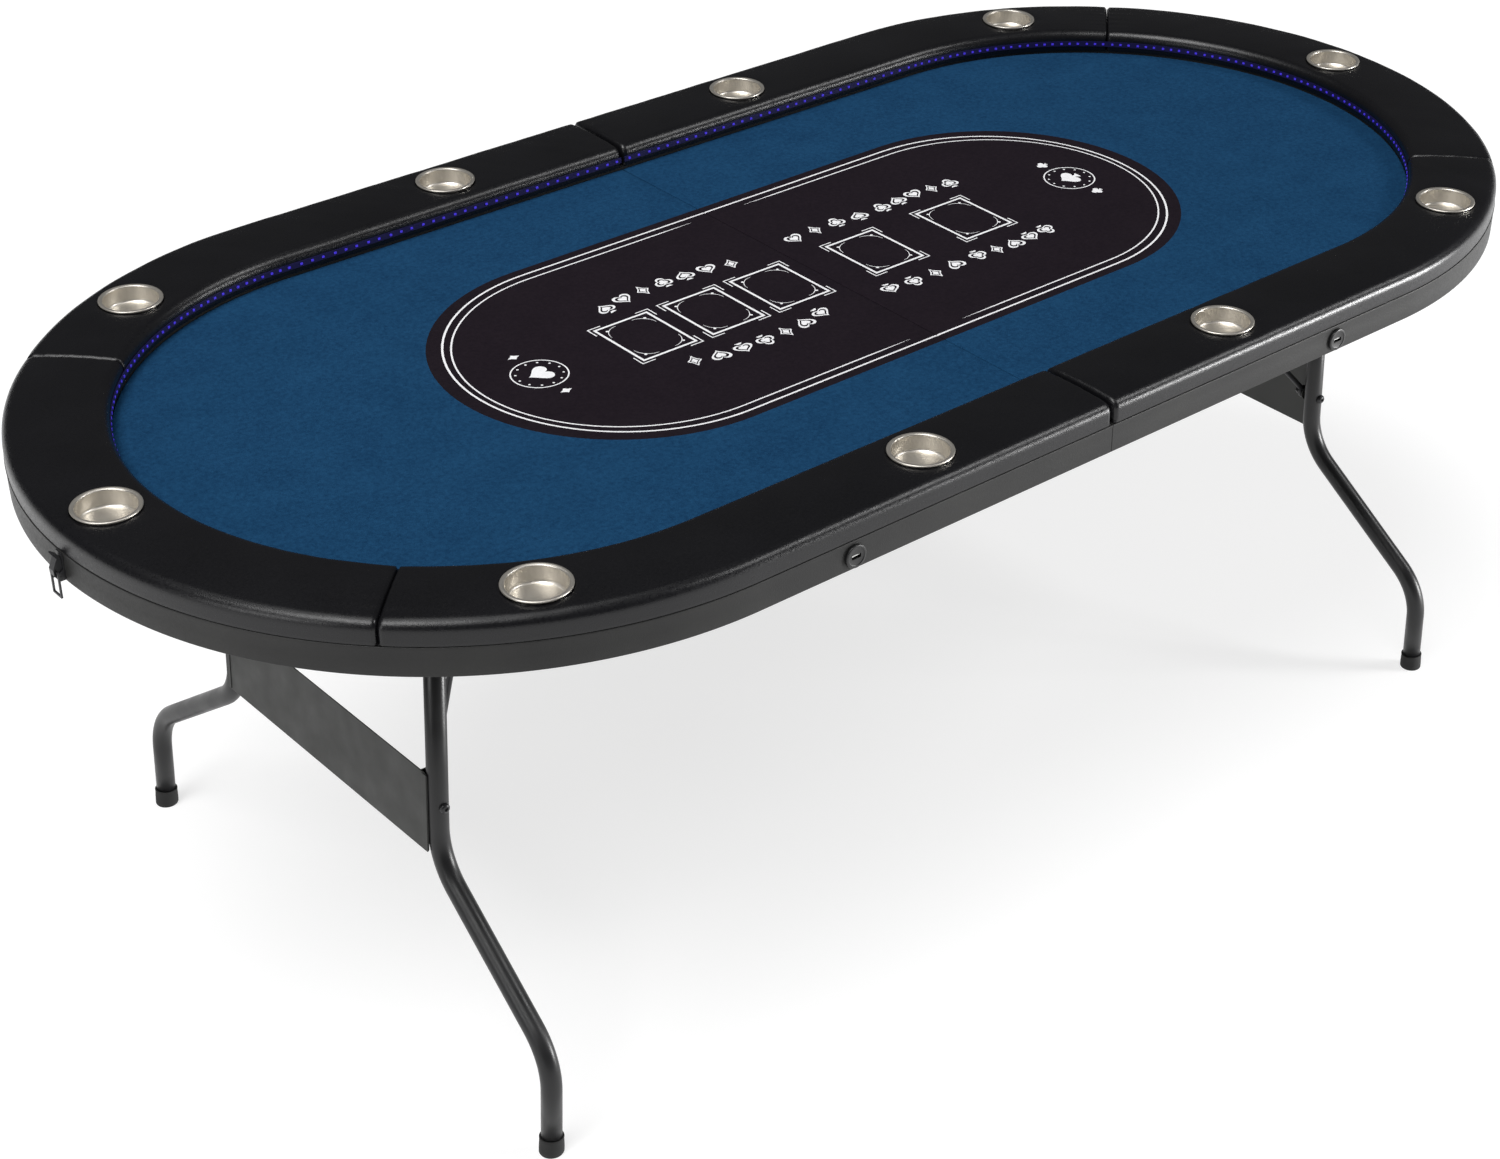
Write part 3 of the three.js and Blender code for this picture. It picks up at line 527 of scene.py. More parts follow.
PAD_STEP = 3.2 * MM
TOP_RADIUS = 13 * MM
PAD_END_RADIUS = 3 * MM
PAD_CROWN = 1.6 * MM
FOAM_WAVE, COVER_WAVE, EDGE_WAVE = 0.28 * MM, 0.16 * MM, 0.16 * MM
CREASE, PUCKER, CUP_DIP = 0.45 * MM, 0.55 * MM, 1.4 * MM
CUP_HOLE = 36.4 * MM
CUP_FLANGE = 39.3 * MM


def pad_section():
    """(offset, z, how far this point takes part in the upholstery) round the pad, fine on top."""
    foot, shoulder = 0.9 * MM, RAIL_TOP - PAD_CROWN
    low, high = RAIL_BOTTOM + foot, shoulder - TOP_RADIUS
    outer = [(x, z, 0.0) for x, z in arc(foot, low, foot, 270, 180, 3)]
    outer += [(0.0, low + (high - low) * t, 0.5 * t) for t in (0.25, 0.5, 0.75)]
    outer += [(x, z, 0.5 + 0.5 * i / 7)
              for i, (x, z) in enumerate(arc(TOP_RADIUS, high, TOP_RADIUS, 180, 90, 7))]
    flat = [(TOP_RADIUS + (RAIL_WIDTH - 2 * TOP_RADIUS) * t,
             shoulder + PAD_CROWN * (1 - (2 * t - 1) ** 2), 1.0) for t in np.linspace(0, 1, 29)[1:-1]]
    inner = [(RAIL_WIDTH - x, z, share) for x, z, share in reversed(outer)]
    bottom = [(x, RAIL_BOTTOM, 0.0) for x in np.linspace(RAIL_WIDTH - foot, foot, 11)[1:-1]]
    return np.array(outer + flat + inner + bottom)


def section_normals(section):
    ahead = np.roll(section[:, :2], -1, axis=0) - np.roll(section[:, :2], 1, axis=0)
    normals = np.stack([-ahead[:, 1], ahead[:, 0]], 1)
    return normals / np.linalg.norm(normals, axis=1)[:, None]


def foam_lift(run, offsets, folded, seed):
    """How far the cover stands above its plain section: slow foam, edge waves, end creases."""
    along, across = run[:, None], offsets[None, :]
    lift = FOAM_WAVE * waves(seed, 5, 0.09, 0.30)(along + 0.4 * across)
    lift = lift + COVER_WAVE * waves(seed + 1, 6, 0.035, 0.09)(along - 0.8 * across)
    edge = sum(np.exp(-((gap - 6 * MM) / (9 * MM)) ** 2) for gap in (across, RAIL_WIDTH - across))
    lift = lift + edge * EDGE_WAVE * waves(seed + 2, 5, 0.06, 0.16)(along)
    for end, (gap, at_fold) in enumerate(zip((along, run[-1] - along), folded)):
        reach, dip = (14 * MM, 0.6 * MM) if at_fold else (24 * MM, 1.2 * MM)
        creases = CREASE * waves(seed + 3 + end, 4, 0.012, 0.035)(across)
        lift = lift + np.exp(-gap / reach) * creases - np.exp(-gap / (reach * 0.8)) * dip
    return lift


def end_inset(gap, heights):
    """How far the section shrinks along its own normals, which rounds the pad's ends."""
    closeness = np.clip(PAD_END_RADIUS - gap, 0, PAD_END_RADIUS)
    inset = PAD_END_RADIUS - np.sqrt(np.maximum(PAD_END_RADIUS ** 2 - closeness ** 2, 0))
    return inset * np.where(heights > RAIL_BOTTOM + 1e-5, 1, 0)


def with_cup(x, y, level, soft, centre, seed):
    """The pad's points with a cup's hole, and the puckered dip round its rim."""
    cx, cy, _ = centre
    distance = np.hypot(x - cx, y - cy)
    beyond = np.clip(distance - CUP_FLANGE, 0, None)
    pucker = PUCKER * waves(seed, 4, 0.6, 1.6)(np.arctan2(y - cy, x - cx))
    dip = pucker * np.exp(-beyond / (14 * MM)) - CUP_DIP * np.exp(-beyond / (6 * MM))
    level = level + dip * np.clip(soft - 0.4, 0, 0.6) / 0.6
    top = soft > 0.95
    under = top & (distance < CUP_FLANGE + 2 * MM)
    level = np.where(under, np.minimum(level, RIM_TOP - 3.4 * MM), level)
    hole = top & (distance < CUP_HOLE)
    wall = hole & (distance > CUP_HOLE - 6 * MM)
    spread = np.where(wall, CUP_HOLE / np.maximum(distance, 1e-6), 1)
    level = np.where(hole, RAIL_BOTTOM + 4 * MM, level)
    return cx + (x - cx) * spread, cy + (y - cy) * spread, level


def rail_pad(side_name, place, angle_from, angle_to, seed):
    """An upholstered pad: crowned, pulled down at its ends and puckered round its cups."""
    section = pad_section()
    offsets, heights, soft = section.T
    path = outline(SIDES[side_name], angle_from, angle_to, PAD_FOLD_GAP, PAD_STEP)
    points, inward, run = (np.array(column) for column in zip(*path))
    folded = (angle_from <= -QUARTER_TURN, angle_to >= QUARTER_TURN)
    gap = np.minimum(run, run[-1] - run)[:, None]
    move = foam_lift(run, offsets, folded, seed) * soft - end_inset(gap, heights)
    normals = section_normals(section)
    across, level = offsets + normals[:, 0] * move, heights + normals[:, 1] * move
    x, y = (points[:, axis, None] + inward[:, axis, None] * across for axis in (0, 1))
    for (cup_side, cup_place), centre in CUPS.items():
        if cup_side == side_name and cup_place.startswith(place):
            cup_seed = seed + int(1000 * abs(centre[0]))
            x, y, level = with_cup(x, y, level, soft, centre, cup_seed)
    name = f"{side_name}_{place}_rail_pad"
    pad = piece(name + "_upholstery", *loft(np.stack([x, y, level], -1)), RAIL_VINYL, f"{side_name}_half",
                name, "rail_vinyl")


def make_rail():
    split = PAD_SPLIT_GAP / END_RADIUS
    for number, name in enumerate(SIDES):
        spans = {
            "near": (-QUARTER_TURN, -SPLIT_ANGLE - split),
            "end": (-SPLIT_ANGLE + split, SPLIT_ANGLE - split),
            "far": (SPLIT_ANGLE + split, QUARTER_TURN),
        }
        for index, (place, (low, high)) in enumerate(spans.items()):
            rail_pad(name, place, low, high, 10 * (3 * number + index) + 7)


# ---- apron
def make_apron(name):
    side = SIDES[name]
    low, high, wall = APRON_BOTTOM, APRON_TOP, APRON_WALL
    ledge_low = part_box(f"{name}_board")[1][2] + FIT_GAP
    ledge_edge = 116.6 * MM
    r = 0.9 * MM
    hem = 0.7 * MM  # the folded top edge stands this far proud
    section = arc(r, low + r, r, 270, 180, 4) + [(-0.25 * MM, (low + high) / 2), (0, high - 5 * MM)]
    section += arc(r - hem, high - r, r, 180, 90, 4)
    section += [(ledge_edge, high), (ledge_edge, ledge_low), (wall, ledge_low), (wall, low + r)]
    section += arc(wall - r, low + r, r, 0, -90, 3)[1:]
    path = whole_half(side, FOLD_GAP, 8 * MM)
    obj = piece(f"{name}_apron_cover", *swept(section, path), APRON_VINYL, f"{name}_half",
                f"{name}_apron", "apron_vinyl")
    bores = [(f"{name}_charging_socket", 11.6 * MM, 30 * MM, -END_RADIUS + 10 * MM)]
    if name == "left":
        bores.append(("power_inlet", 6.4 * MM, 40 * MM, END_RADIUS))
    for node, radius, length, y in bores:
        x, _, z = centre_of(node)
        carved(obj, placed(drum(radius, length), Matrix.Translation((x, y, z)) @ TO_NEAR))
    obj.data.polygons.foreach_set("use_smooth", [True] * len(obj.data.polygons))
    soften(obj, 0.3 * MM, 1, 50)


# ---- playing surface and its print
def stadium(half_length, radius):
    """A loop with round ends."""
    centre = half_length - radius
    right = [(centre + radius * math.cos(a), radius * math.sin(a))
             for a in np.linspace(-QUARTER_TURN, QUARTER_TURN, 48)]
    return right + [(-x, -y) for x, y in right]


def stroke(path, widths):
    """The outline of a line whose width changes along it."""
    path = np.array(path, float)
    ahead = np.gradient(path, axis=0)
    ahead /= np.linalg.norm(ahead, axis=1)[:, None]
    side = np.stack([-ahead[:, 1], ahead[:, 0]], 1)
    half = np.interp(np.linspace(0, 1, len(path)), np.linspace(0, 1, len(widths)), widths)[:, None] / 2
    return [tuple(p) for p in path + side * half] + [tuple(p) for p in (path - side * half)[::-1]]


def heart(size):
    t = np.linspace(0, 2 * math.pi, 40, endpoint=False)
    x = 16 * np.sin(t) ** 3
    y = 13 * np.cos(t) - 5 * np.cos(2 * t) - 2 * np.cos(3 * t) - np.cos(4 * t) + 2
    return [[(a * size / 32, b * size / 32) for a, b in zip(x, y)]]


def diamond(size):
    w, h, waist = size * 0.36, size * 0.5, 0.82
    corners = [(w, 0), (0, h), (-w, 0), (0, -h)]
    loop = []
    for (ax, ay), (bx, by) in zip(corners, corners[1:] + corners[:1]):
        loop += [(ax, ay), ((ax + bx) / 2 * waist, (ay + by) / 2 * waist)]
    return [loop]


def stem(size):
    right = [(0.05 * size, 0), (0.09 * size, -0.36 * size), (0.2 * size, -0.5 * size)]
    return right + [(-x, y) for x, y in reversed(right)]


def spade(size):
    blade = [(x, 0.06 * size - y * 0.86) for x, y in heart(size)[0]]
    return [blade, stem(size)]


def club(size):
    r, across = 0.235 * size, 0.245 * size
    leaves = [(0, 0.25 * size, r), (-across, -0.07 * size, r), (across, -0.07 * size, r), (0, 0, 0.14 * size)]
    return [arc(x, y, radius, 0, 345, 23) for x, y, radius in leaves] + [stem(size)]


SUITS = (spade, heart, diamond, club)


def moved(loops, x, y, turn=0.0):
    c, s = math.cos(turn), math.sin(turn)
    return [[(x + c * a - s * b, y + s * a + c * b) for a, b in loop] for loop in loops]


BLUE, DARK, WHITE = range(3)  # the tones' places in the cloth's list of materials
PRINT_LENGTH, PRINT_RADIUS = 561 * MM, 246 * MM
PRINT_CENTRE = (11.5 * MM, 2.5 * MM)
LINE_LENGTH, LINE_RADIUS = 541.3 * MM, 232.5 * MM
CARD_WIDTH, CARD_HEIGHT = 80.4 * MM, 100.2 * MM
CARD_CENTRES = [-279.0 * MM, -171.5 * MM, -64.0 * MM, 97.7 * MM, 257.0 * MM]
PIP = 27 * MM
EMBLEM_X, EMBLEM_RADIUS, BEAD_RADIUS = 448 * MM, 36 * MM, 29 * MM


def rectangle(cx, cy, width, height):
    w, h = width / 2, height / 2
    return [(cx - w, cy - h), (cx + w, cy - h), (cx + w, cy + h), (cx - w, cy + h)]


def card_box(cx):
    """One card's place: a frame, four outer brackets and four inner corner fans."""
    line = 1.7 * MM
    layers = [(WHITE, rectangle(cx, 0, CARD_WIDTH + 2 * line, CARD_HEIGHT + 2 * line)),
              (DARK, rectangle(cx, 0, CARD_WIDTH - 2 * line, CARD_HEIGHT - 2 * line))]
    # One corner's shapes, measured from the card's own corner; minus is inward.
    out, arm, inner, reach = 5.4 * MM, 13 * MM, 6 * MM, 22 * MM
    bracket = [(out + line, out + line), (-arm, out + line), (-arm, out), (out, out), (out, -arm),
               (out + line, -arm)]
    fan = [(-inner - reach * (1 - math.sin(a)), -inner - reach * (1 - math.cos(a)))
           for a in np.linspace(0, QUARTER_TURN, 14)]
    dot = arc(-inner - 5 * MM, -inner - 5 * MM, 1.9 * MM, 0, 330, 11)
    corner = [bracket, stroke(fan, [0.5 * MM, 1.2 * MM, 0.5 * MM]), dot]
    w, h = CARD_WIDTH / 2, CARD_HEIGHT / 2
    for sx in (-1, 1):
        for sy in (-1, 1):
            layers += [(WHITE, [(cx + sx * (w + x), sy * (h + y)) for x, y in loop]) for loop in corner]
    return layers


def pip_row(cx, half_span, count, level, sag, first):
    """A bowed row of outlined suit pips, above the cards and turned round below them."""
    layers = []
    for flip in (1, -1):
        for i, t in enumerate(np.linspace(-1, 1, count)):
            suit = SUITS[(i + first) % 4]
            for tone, scale in ((WHITE, 1.0), (DARK, 0.74), (WHITE, 0.5)):
                loops = moved(suit(PIP * scale), t * half_span, level - sag * t * t, -2 * sag * t / half_span)
                layers += [(tone, [(cx + flip * x, flip * y) for x, y in loop]) for loop in loops]
    return layers


def end_emblem(sign, middle, small):
    """At one end: a pip in a beaded ring, between two small pips."""
    x, y = PRINT_CENTRE[0] + sign * EMBLEM_X, PRINT_CENTRE[1]
    layers = [(WHITE, circle(x, y, EMBLEM_RADIUS)), (DARK, circle(x, y, EMBLEM_RADIUS - 1.8 * MM))]
    layers += [(WHITE, circle(*bead, 1.5 * MM)) for bead in arc(x, y, BEAD_RADIUS, 0, 330, 11)]
    for suit, size, level in ((middle, 34 * MM, 0), (small, 17 * MM, -54 * MM), (small, 17 * MM, 54 * MM)):
        layers += [(WHITE, loop) for loop in moved(suit(size), x, y + level, sign * QUARTER_TURN)]
    return layers


def print_layers():
    """Every printed shape in painting order, as (tone, closed loop)."""
    line = 2.8 * MM
    layers = [(DARK, stadium(PRINT_LENGTH, PRINT_RADIUS)),
              (WHITE, stadium(LINE_LENGTH, LINE_RADIUS)),
              (DARK, stadium(LINE_LENGTH - line, LINE_RADIUS - line))]
    layers = [(tone, moved([loop], *PRINT_CENTRE)[0]) for tone, loop in layers]
    inner_height = LINE_RADIUS - 15 * MM
    reach = LINE_LENGTH - line - 8 * MM
    centre = LINE_LENGTH - LINE_RADIUS
    for sign in (-1, 1):
        path = [(45 * MM, inner_height), (95 * MM, inner_height)]
        path += [(centre + (reach - centre) * math.sin(a), inner_height * math.cos(a))
                 for a in np.linspace(0, math.pi, 60)]
        path += [(95 * MM, -inner_height), (45 * MM, -inner_height)]
        widths = [0.3 * MM] + [2.2 * MM] * 18 + [0.3 * MM]
        mirrored = [(sign * x, y) for x, y in dense(path, 12 * MM)]
        layers.append((WHITE, moved([stroke(mirrored, widths)], *PRINT_CENTRE)[0]))
    for cx in CARD_CENTRES:
        layers += card_box(cx)
    layers += pip_row(CARD_CENTRES[1], 101 * MM, 7, 103 * MM, 13 * MM, 0)
    layers += pip_row(CARD_CENTRES[3], 56 * MM, 4, 99 * MM, 4 * MM, 1)
    layers += pip_row(CARD_CENTRES[4], 62 * MM, 5, 99 * MM, 4 * MM, 3)
    return layers + end_emblem(-1, heart, diamond) + end_emblem(1, spade, club)


def dense(path, step):
    """The same line with a point at least every step."""
    points = []
    for (ax, ay), (bx, by) in zip(path, path[1:]):
        count = max(1, math.ceil(math.hypot(bx - ax, by - ay) / step))
        points += [(ax + (bx - ax) * i / count, ay + (by - ay) * i / count) for i in range(count)]
    return points + [path[-1]]


def inside(points, loop):
    """Which points lie in a closed loop, by crossing count."""
    loop = np.array(loop)
    following = np.roll(loop, -1, axis=0)
    found = np.zeros(len(points), bool)
    px, py = points.T
    for (ax, ay), (bx, by) in zip(loop, following):
        if ay == by:
            continue
        crosses = ((ay > py) != (by > py)) & (px < (bx - ax) * (py - ay) / (by - ay) + ax)
        found ^= crosses
    return found


CLOTH_RIM = 1.3 * MM
CLOTH_START = FOLD_GAP + CLOTH_RIM


def split_top(side, border, layers):
    """The flat top inside border as triangles, split along every printed loop, and their tones."""
    points, edges = [], []
    for loop in [border] + [loop for _, loop in layers]:
        start = len(points)
        points += [Vector(p) for p in loop]
        edges += [(start + i, start + (i + 1) % len(loop)) for i in range(len(loop))]
    xs = np.arange(CLOTH_START + 20 * MM, END_CENTRE + END_RADIUS, 40 * MM)
    ys = np.arange(-END_RADIUS, END_RADIUS, 40 * MM)
    grid = np.array([(side * x, y) for x in xs for y in ys])
    points += [Vector(p) for p in grid[inside(grid, border)]]
    verts, _, faces, _, _, _ = delaunay_2d_cdt(points, edges, [], 0, 1e-7)
    flat = np.array([tuple(v) for v in verts])
    middles = np.array([flat[list(f)].mean(axis=0) for f in faces])
    tones = np.full(len(faces), BLUE)
    for tone, loop in layers:
        tones[inside(middles, loop)] = tone
    keep = inside(middles, border)
    return ([Vector((x, y, FELT_TOP)) for x, y in flat], [tuple(f) for f, k in zip(faces, keep) if k],
            [int(tone) for tone in tones[keep]])


def make_felt(name):
    """The cloth panel: each tone of its print has its own faces."""
    side = SIDES[name]
    # The flat top's boundary, set in from the panel's sides by the rim's rounding.
    flat = [point + inward * (FELT_OFFSET + CLOTH_RIM)
            for point, inward, _ in whole_half(side, FOLD_GAP, 10 * MM)]
    border = [(side * max(side * p.x, CLOTH_START), p.y) for p in flat]
    layers = [(tone, clipped(loop, side, CLOTH_START)) for tone, loop in print_layers()]
    verts, faces, tones = split_top(side, border, [layer for layer in layers if len(layer[1]) > 2])
    add_rim(verts, faces, tones, side)
    obj = piece(f"{name}_playing_cloth", verts, faces, [BLUE_CLOTH, DARK_CLOTH, WHITE_PRINT],
                f"{name}_half", f"{name}_felt", "felt")
    obj.data.polygons.foreach_set("material_index", tones)


def clipped(loop, side, limit):
    """The part of a closed loop on one side of the fold."""
    kept = []
    for (ax, ay), (bx, by) in zip(loop, loop[1:] + loop[:1]):
        a_in, b_in = side * ax > limit, side * bx > limit
        if a_in:
            kept.append((ax, ay))
        if a_in != b_in:
            t = (side * limit - ax) / (bx - ax)
            kept.append((side * limit, ay + (by - ay) * t))
    return kept


def rim_direction(point, side):
    """Straight out from the cloth's edge at a point of the flat top's boundary."""
    if side * point.x < CLOTH_START + 1e-6:
        return Vector((-side, 0, 0))
    if side * point.x > END_CENTRE:
        return Vector((point.x - side * END_CENTRE, point.y, 0)).normalized()
    return Vector((0, math.copysign(1, point.y), 0))


def add_rim(verts, faces, tones, side):
    """Carries the top's boundary edges over a rounded rim and down to a flat underside."""
    edges = {edge: tone for f, tone in zip(faces, tones) for edge in zip(f, f[1:] + f[:1])}
    boundary = {a: (b, tone) for (a, b), tone in edges.items() if (b, a) not in edges}
    ring = [next(iter(boundary))]
    while boundary[ring[-1]][0] != ring[0]:
        ring.append(boundary[ring[-1]][0])
    outward = [rim_direction(verts[index], side) for index in ring]
    levels = [(CLOTH_RIM * math.sin(a), FELT_TOP - CLOTH_RIM * (1 - math.cos(a)))
              for a in (0.5, 1.0, QUARTER_TURN)]
    previous = ring
    for out, z in levels + [(CLOTH_RIM, FELT_BOTTOM)]:
        current = list(range(len(verts), len(verts) + len(ring)))
        verts += [Vector((verts[index].x, verts[index].y, z)) + direction * out
                  for index, direction in zip(ring, outward)]
        for i, index in enumerate(ring):
            j = (i + 1) % len(ring)
            faces.append((previous[i], current[i], current[j], previous[j]))
            tones.append(boundary[index][1])
        previous = current
    faces.append(tuple(previous))
    tones.append(BLUE)


# ---- cups
def cup_profile():
    """From the underside's middle, up the outside, over the rolled rim and down inside."""
    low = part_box("left_end_cup")[0][2] - RIM_TOP
    wall, sheet = 34.8 * MM, 1.0 * MM
    outer, bead = CUP_FLANGE, 1.55 * MM
    floor = low + 1.2 * MM
    under = -2 * bead
    profile = [(0, low)] + arc(wall - 5 * MM, low + 5 * MM, 5 * MM, -90, 0, 6)
    profile += [(wall, under - 0.5 * MM)] + arc(wall + 0.6 * MM, under - 0.1 * MM, 0.6 * MM, 180, 90, 2)
    profile += arc(outer - bead, -bead, bead, -90, 60, 9)
    profile += [(outer - 3.3 * MM, -0.12 * MM), (wall - sheet + 1.6 * MM, -0.5 * MM)]
    profile += arc(wall - sheet + 1.7 * MM, -2.2 * MM, 1.7 * MM, 100, 180, 6)
    inner = wall - sheet
    profile += arc(inner - 4.2 * MM, floor + 4.2 * MM, 4.2 * MM, 0, -90, 7)
    profile += [(inner - 8 * MM, floor + 0.1 * MM), (12 * MM, floor + 0.35 * MM), (0, floor + 0.4 * MM)]
    return profile


def make_cups():
    verts, faces = lathe(cup_profile(), 96)
    for (side, place), (x, y, _) in CUPS.items():
        name = f"{side}_{place}_cup"
        obj = piece(name + "_steel", verts, faces, CUP_STEEL, None, name, "cup_steel")
        obj.location = (x, y, RIM_TOP)
        bpy.context.view_layer.update()
        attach(obj, f"{side}_half")


# ---- light strips
LAMP_PITCH = 16.7 * MM


def make_light_strip(name):
    """A thin ribbon on the pads' inner wall, with its row of small lamps."""
    side = SIDES[name]
    low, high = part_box(f"{name}_led_strip")
    inner = RAIL_WIDTH + FIT_GAP
    outer = inner + 0.8 * MM
    section = [(inner, low[2]), (outer, low[2]), (outer, high[2]), (inner, high[2])]
    ribbon = swept(section, whole_half(side, PAD_FOLD_GAP, 12 * MM))
    piece(f"{name}_light_ribbon", *ribbon, STRIP_GLOW, f"{name}_half", f"{name}_led_strip",
          "light_strip", smooth=False)
    lamps = []
    chip = rounded_box(3.5 * MM, 2.8 * MM, 0.8 * MM, 0.5 * MM)
    for point, inward, run in whole_half(side, PAD_FOLD_GAP + 6 * MM, 2 * MM):
        if run < len(lamps) * LAMP_PITCH:
            continue
        across = inward.cross(Vector((0, 0, 1)))
        frame_of = Matrix((across, Vector((0, 0, 1)), inward)).transposed().to_4x4()
        centre = point + inward * (outer + 0.45 * MM) + Vector((0, 0, (low[2] + high[2]) / 2))
        lamps.append(placed(chip, Matrix.Translation(centre) @ frame_of))
    piece(f"{name}_lamps", *merged(*lamps), LAMP_GLOW, f"{name}_half", (), "light_strip", smooth=False)


# ---- leg frames
def inboard(name, tilt):
    """Turns a part's +X axis to face the fold, and then tilts it about its own Y axis."""
    return Matrix.Rotation(0 if SIDES[name] < 0 else math.pi, 4, "Z") @ Matrix.Rotation(tilt, 4, "Y")


def leg_matrix(name):
    """From a leg frame's own axes (x inboard, z up the leg, pivot at the origin) to the row frame."""
    return Matrix.Translation(JOINTS[f"{name}_legs_fold"]["pos_m"]) @ inboard(name, LEG_SPLAY)


def along_leg(z):
    return (z - PIVOT_Z) / math.cos(LEG_SPLAY)


def leg_tube_part(sign):
    """A tube that comes down from the cross tube, bends outward and bends back down to the foot."""
    corners = [Vector((0, sign * y, z)) for y, z in (
        (LEG_TOP_Y, -TUBE_RADIUS - FIT_GAP),
        (LEG_TOP_Y, along_leg(LEG_BEND_TOP_Z)),
        (LEG_FOOT_Y, along_leg(LEG_BEND_BOTTOM_Z)),
        (LEG_FOOT_Y, along_leg(5 * MM)),
    )]
    return loft(tube_rings(rounded_path(corners, LEG_BEND_RADIUS, 16), TUBE_RADIUS))


def make_legs(name):
    body = f"{name}_legs"
    to_row = leg_matrix(name)
    end = LEG_TOP_Y + TUBE_RADIUS
    cross = hollow_bar(TUBE_RADIUS, TUBE_RADIUS - 1.4 * MM, 2 * end)
    piece(f"{name}_cross_tube_steel", *placed(cross, to_row @ TO_NEAR), FRAME_ENAMEL, body,
          f"{name}_leg_cross_tube", "frame_enamel")
    for sign in (-1, 1):
        row = "near" if sign * -SIDES[name] < 0 else "far"
        stem_name = f"{name}_{row}"
        piece(f"{stem_name}_leg_steel", *placed(leg_tube_part(sign), to_row), FRAME_ENAMEL, body,
              f"{stem_name}_leg_tube", "frame_enamel")
        bead = turned(arc(TUBE_RADIUS + 0.2 * MM, 0, 1.8 * MM, 0, 324, 9))
        at_top = to_row @ Matrix.Translation((0, sign * LEG_TOP_Y, -TUBE_RADIUS + 0.2 * MM))
        piece(f"{stem_name}_leg_weld", *placed(bead, at_top), FRAME_ENAMEL, body, (), "frame_enamel")
        make_foot(stem_name, sign, to_row, body)
        make_bolt(stem_name, sign, to_row, body)
    make_panel(name, to_row, body)


def make_foot(stem_name, sign, to_row, body):
    """A rubber cap with a rolled lip and a worn, level sole."""
    top, radius = along_leg(foot_high[2] - 0.9 * MM), 15.1 * MM

    def ring(r, z):
        return [to_row @ Vector((x, y, z)) for x, y in circle(0, sign * LEG_FOOT_Y, r)]

    levels = [(TUBE_RADIUS + 0.3 * MM, -1.5 * MM), (TUBE_RADIUS + 0.3 * MM, -0.2 * MM)]
    levels += arc(radius - 1.4 * MM, -1.2 * MM, 1.2 * MM, 110, 0, 5)
    levels += [(radius - 0.5 * MM, -4 * MM), (radius - 0.2 * MM, -10 * MM), (radius, -17 * MM)]
    rings = [ring(r, top + z) for r, z in levels]
    for r, lift in ((radius, 1.6 * MM), (radius - 0.6 * MM, 0.5 * MM), (radius - 2 * MM, 0.0)):
        rings.append([Vector((p.x, p.y, lift)) for p in ring(r, along_leg(0))])
    piece(f"{stem_name}_foot_rubber", *loft(rings), FOOT_RUBBER, body, f"{stem_name}_foot_cap",
          "foot_rubber")


def make_bolt(stem_name, sign, to_row, body):
    """A pan-head bolt with a socket, its shank and a domed nut, as separate pieces."""
    z = along_leg(BOLT_Z)
    outward = Matrix.Rotation(-sign * QUARTER_TURN, 4, "X")  # +Z turned to point away from the middle

    def part(suffix, shape, distance, replaces=(), smooth=True):
        spot = to_row @ Matrix.Translation((0, sign * distance, z)) @ outward
        return piece(f"{stem_name}_bolt_{suffix}", *placed(shape, spot), DARK_HARDWARE, body, replaces,
                     "dark_hardware", smooth)

    head = lathe([(0, -0.2 * MM), (6.5 * MM, -0.2 * MM), (6.5 * MM, 1.0 * MM), (6.2 * MM, 2.4 * MM),
                  (5.2 * MM, 3.8 * MM), (3.6 * MM, 4.6 * MM), (2.9 * MM, 4.7 * MM), (2.6 * MM, 4.4 * MM),
                  (2.5 * MM, 2.2 * MM), (0, 2.0 * MM)], 36)
    nut = lathe([(0, -6 * MM), (2.5 * MM, -6 * MM), (5.2 * MM, -5.2 * MM), (6.4 * MM, -3.8 * MM),
                 (6.5 * MM, -0.6 * MM), (6.1 * MM, 0), (0, 0)], 6)
    face, shank_end = LEG_TOP_Y + TUBE_RADIUS + FIT_GAP, BRACE_ARM_Y - 10 * MM
    part("head", head, face, f"{stem_name}_leg_bolt")
    part("shank", drum(4 * MM, face - shank_end, 0.4 * MM, 32), (face + shank_end) / 2)
    soften(part("nut", nut, BRACE_ARM_Y - BRACE_RADIUS - 2 * MM, smooth=False), 0.3 * MM)


def panel_flange(outer):
    """The (x, z) outline of a flange that ends in an ear round the bolt."""
    low, high = along_leg(PANEL_BOTTOM_Z) + 1 * MM, along_leg(PANEL_TOP_Z) - 1 * MM
    root, depth, corner = outer + 0.1 * MM, outer + PANEL_FLANGE, 2 * MM
    ear = arc(0, along_leg(BOLT_Z), PANEL_EAR, -90, 90, 16)
    return [(root, low), (depth - corner, low), (depth, low + corner), *ear,
            (depth, high - corner), (depth - corner, high), (root, high)]


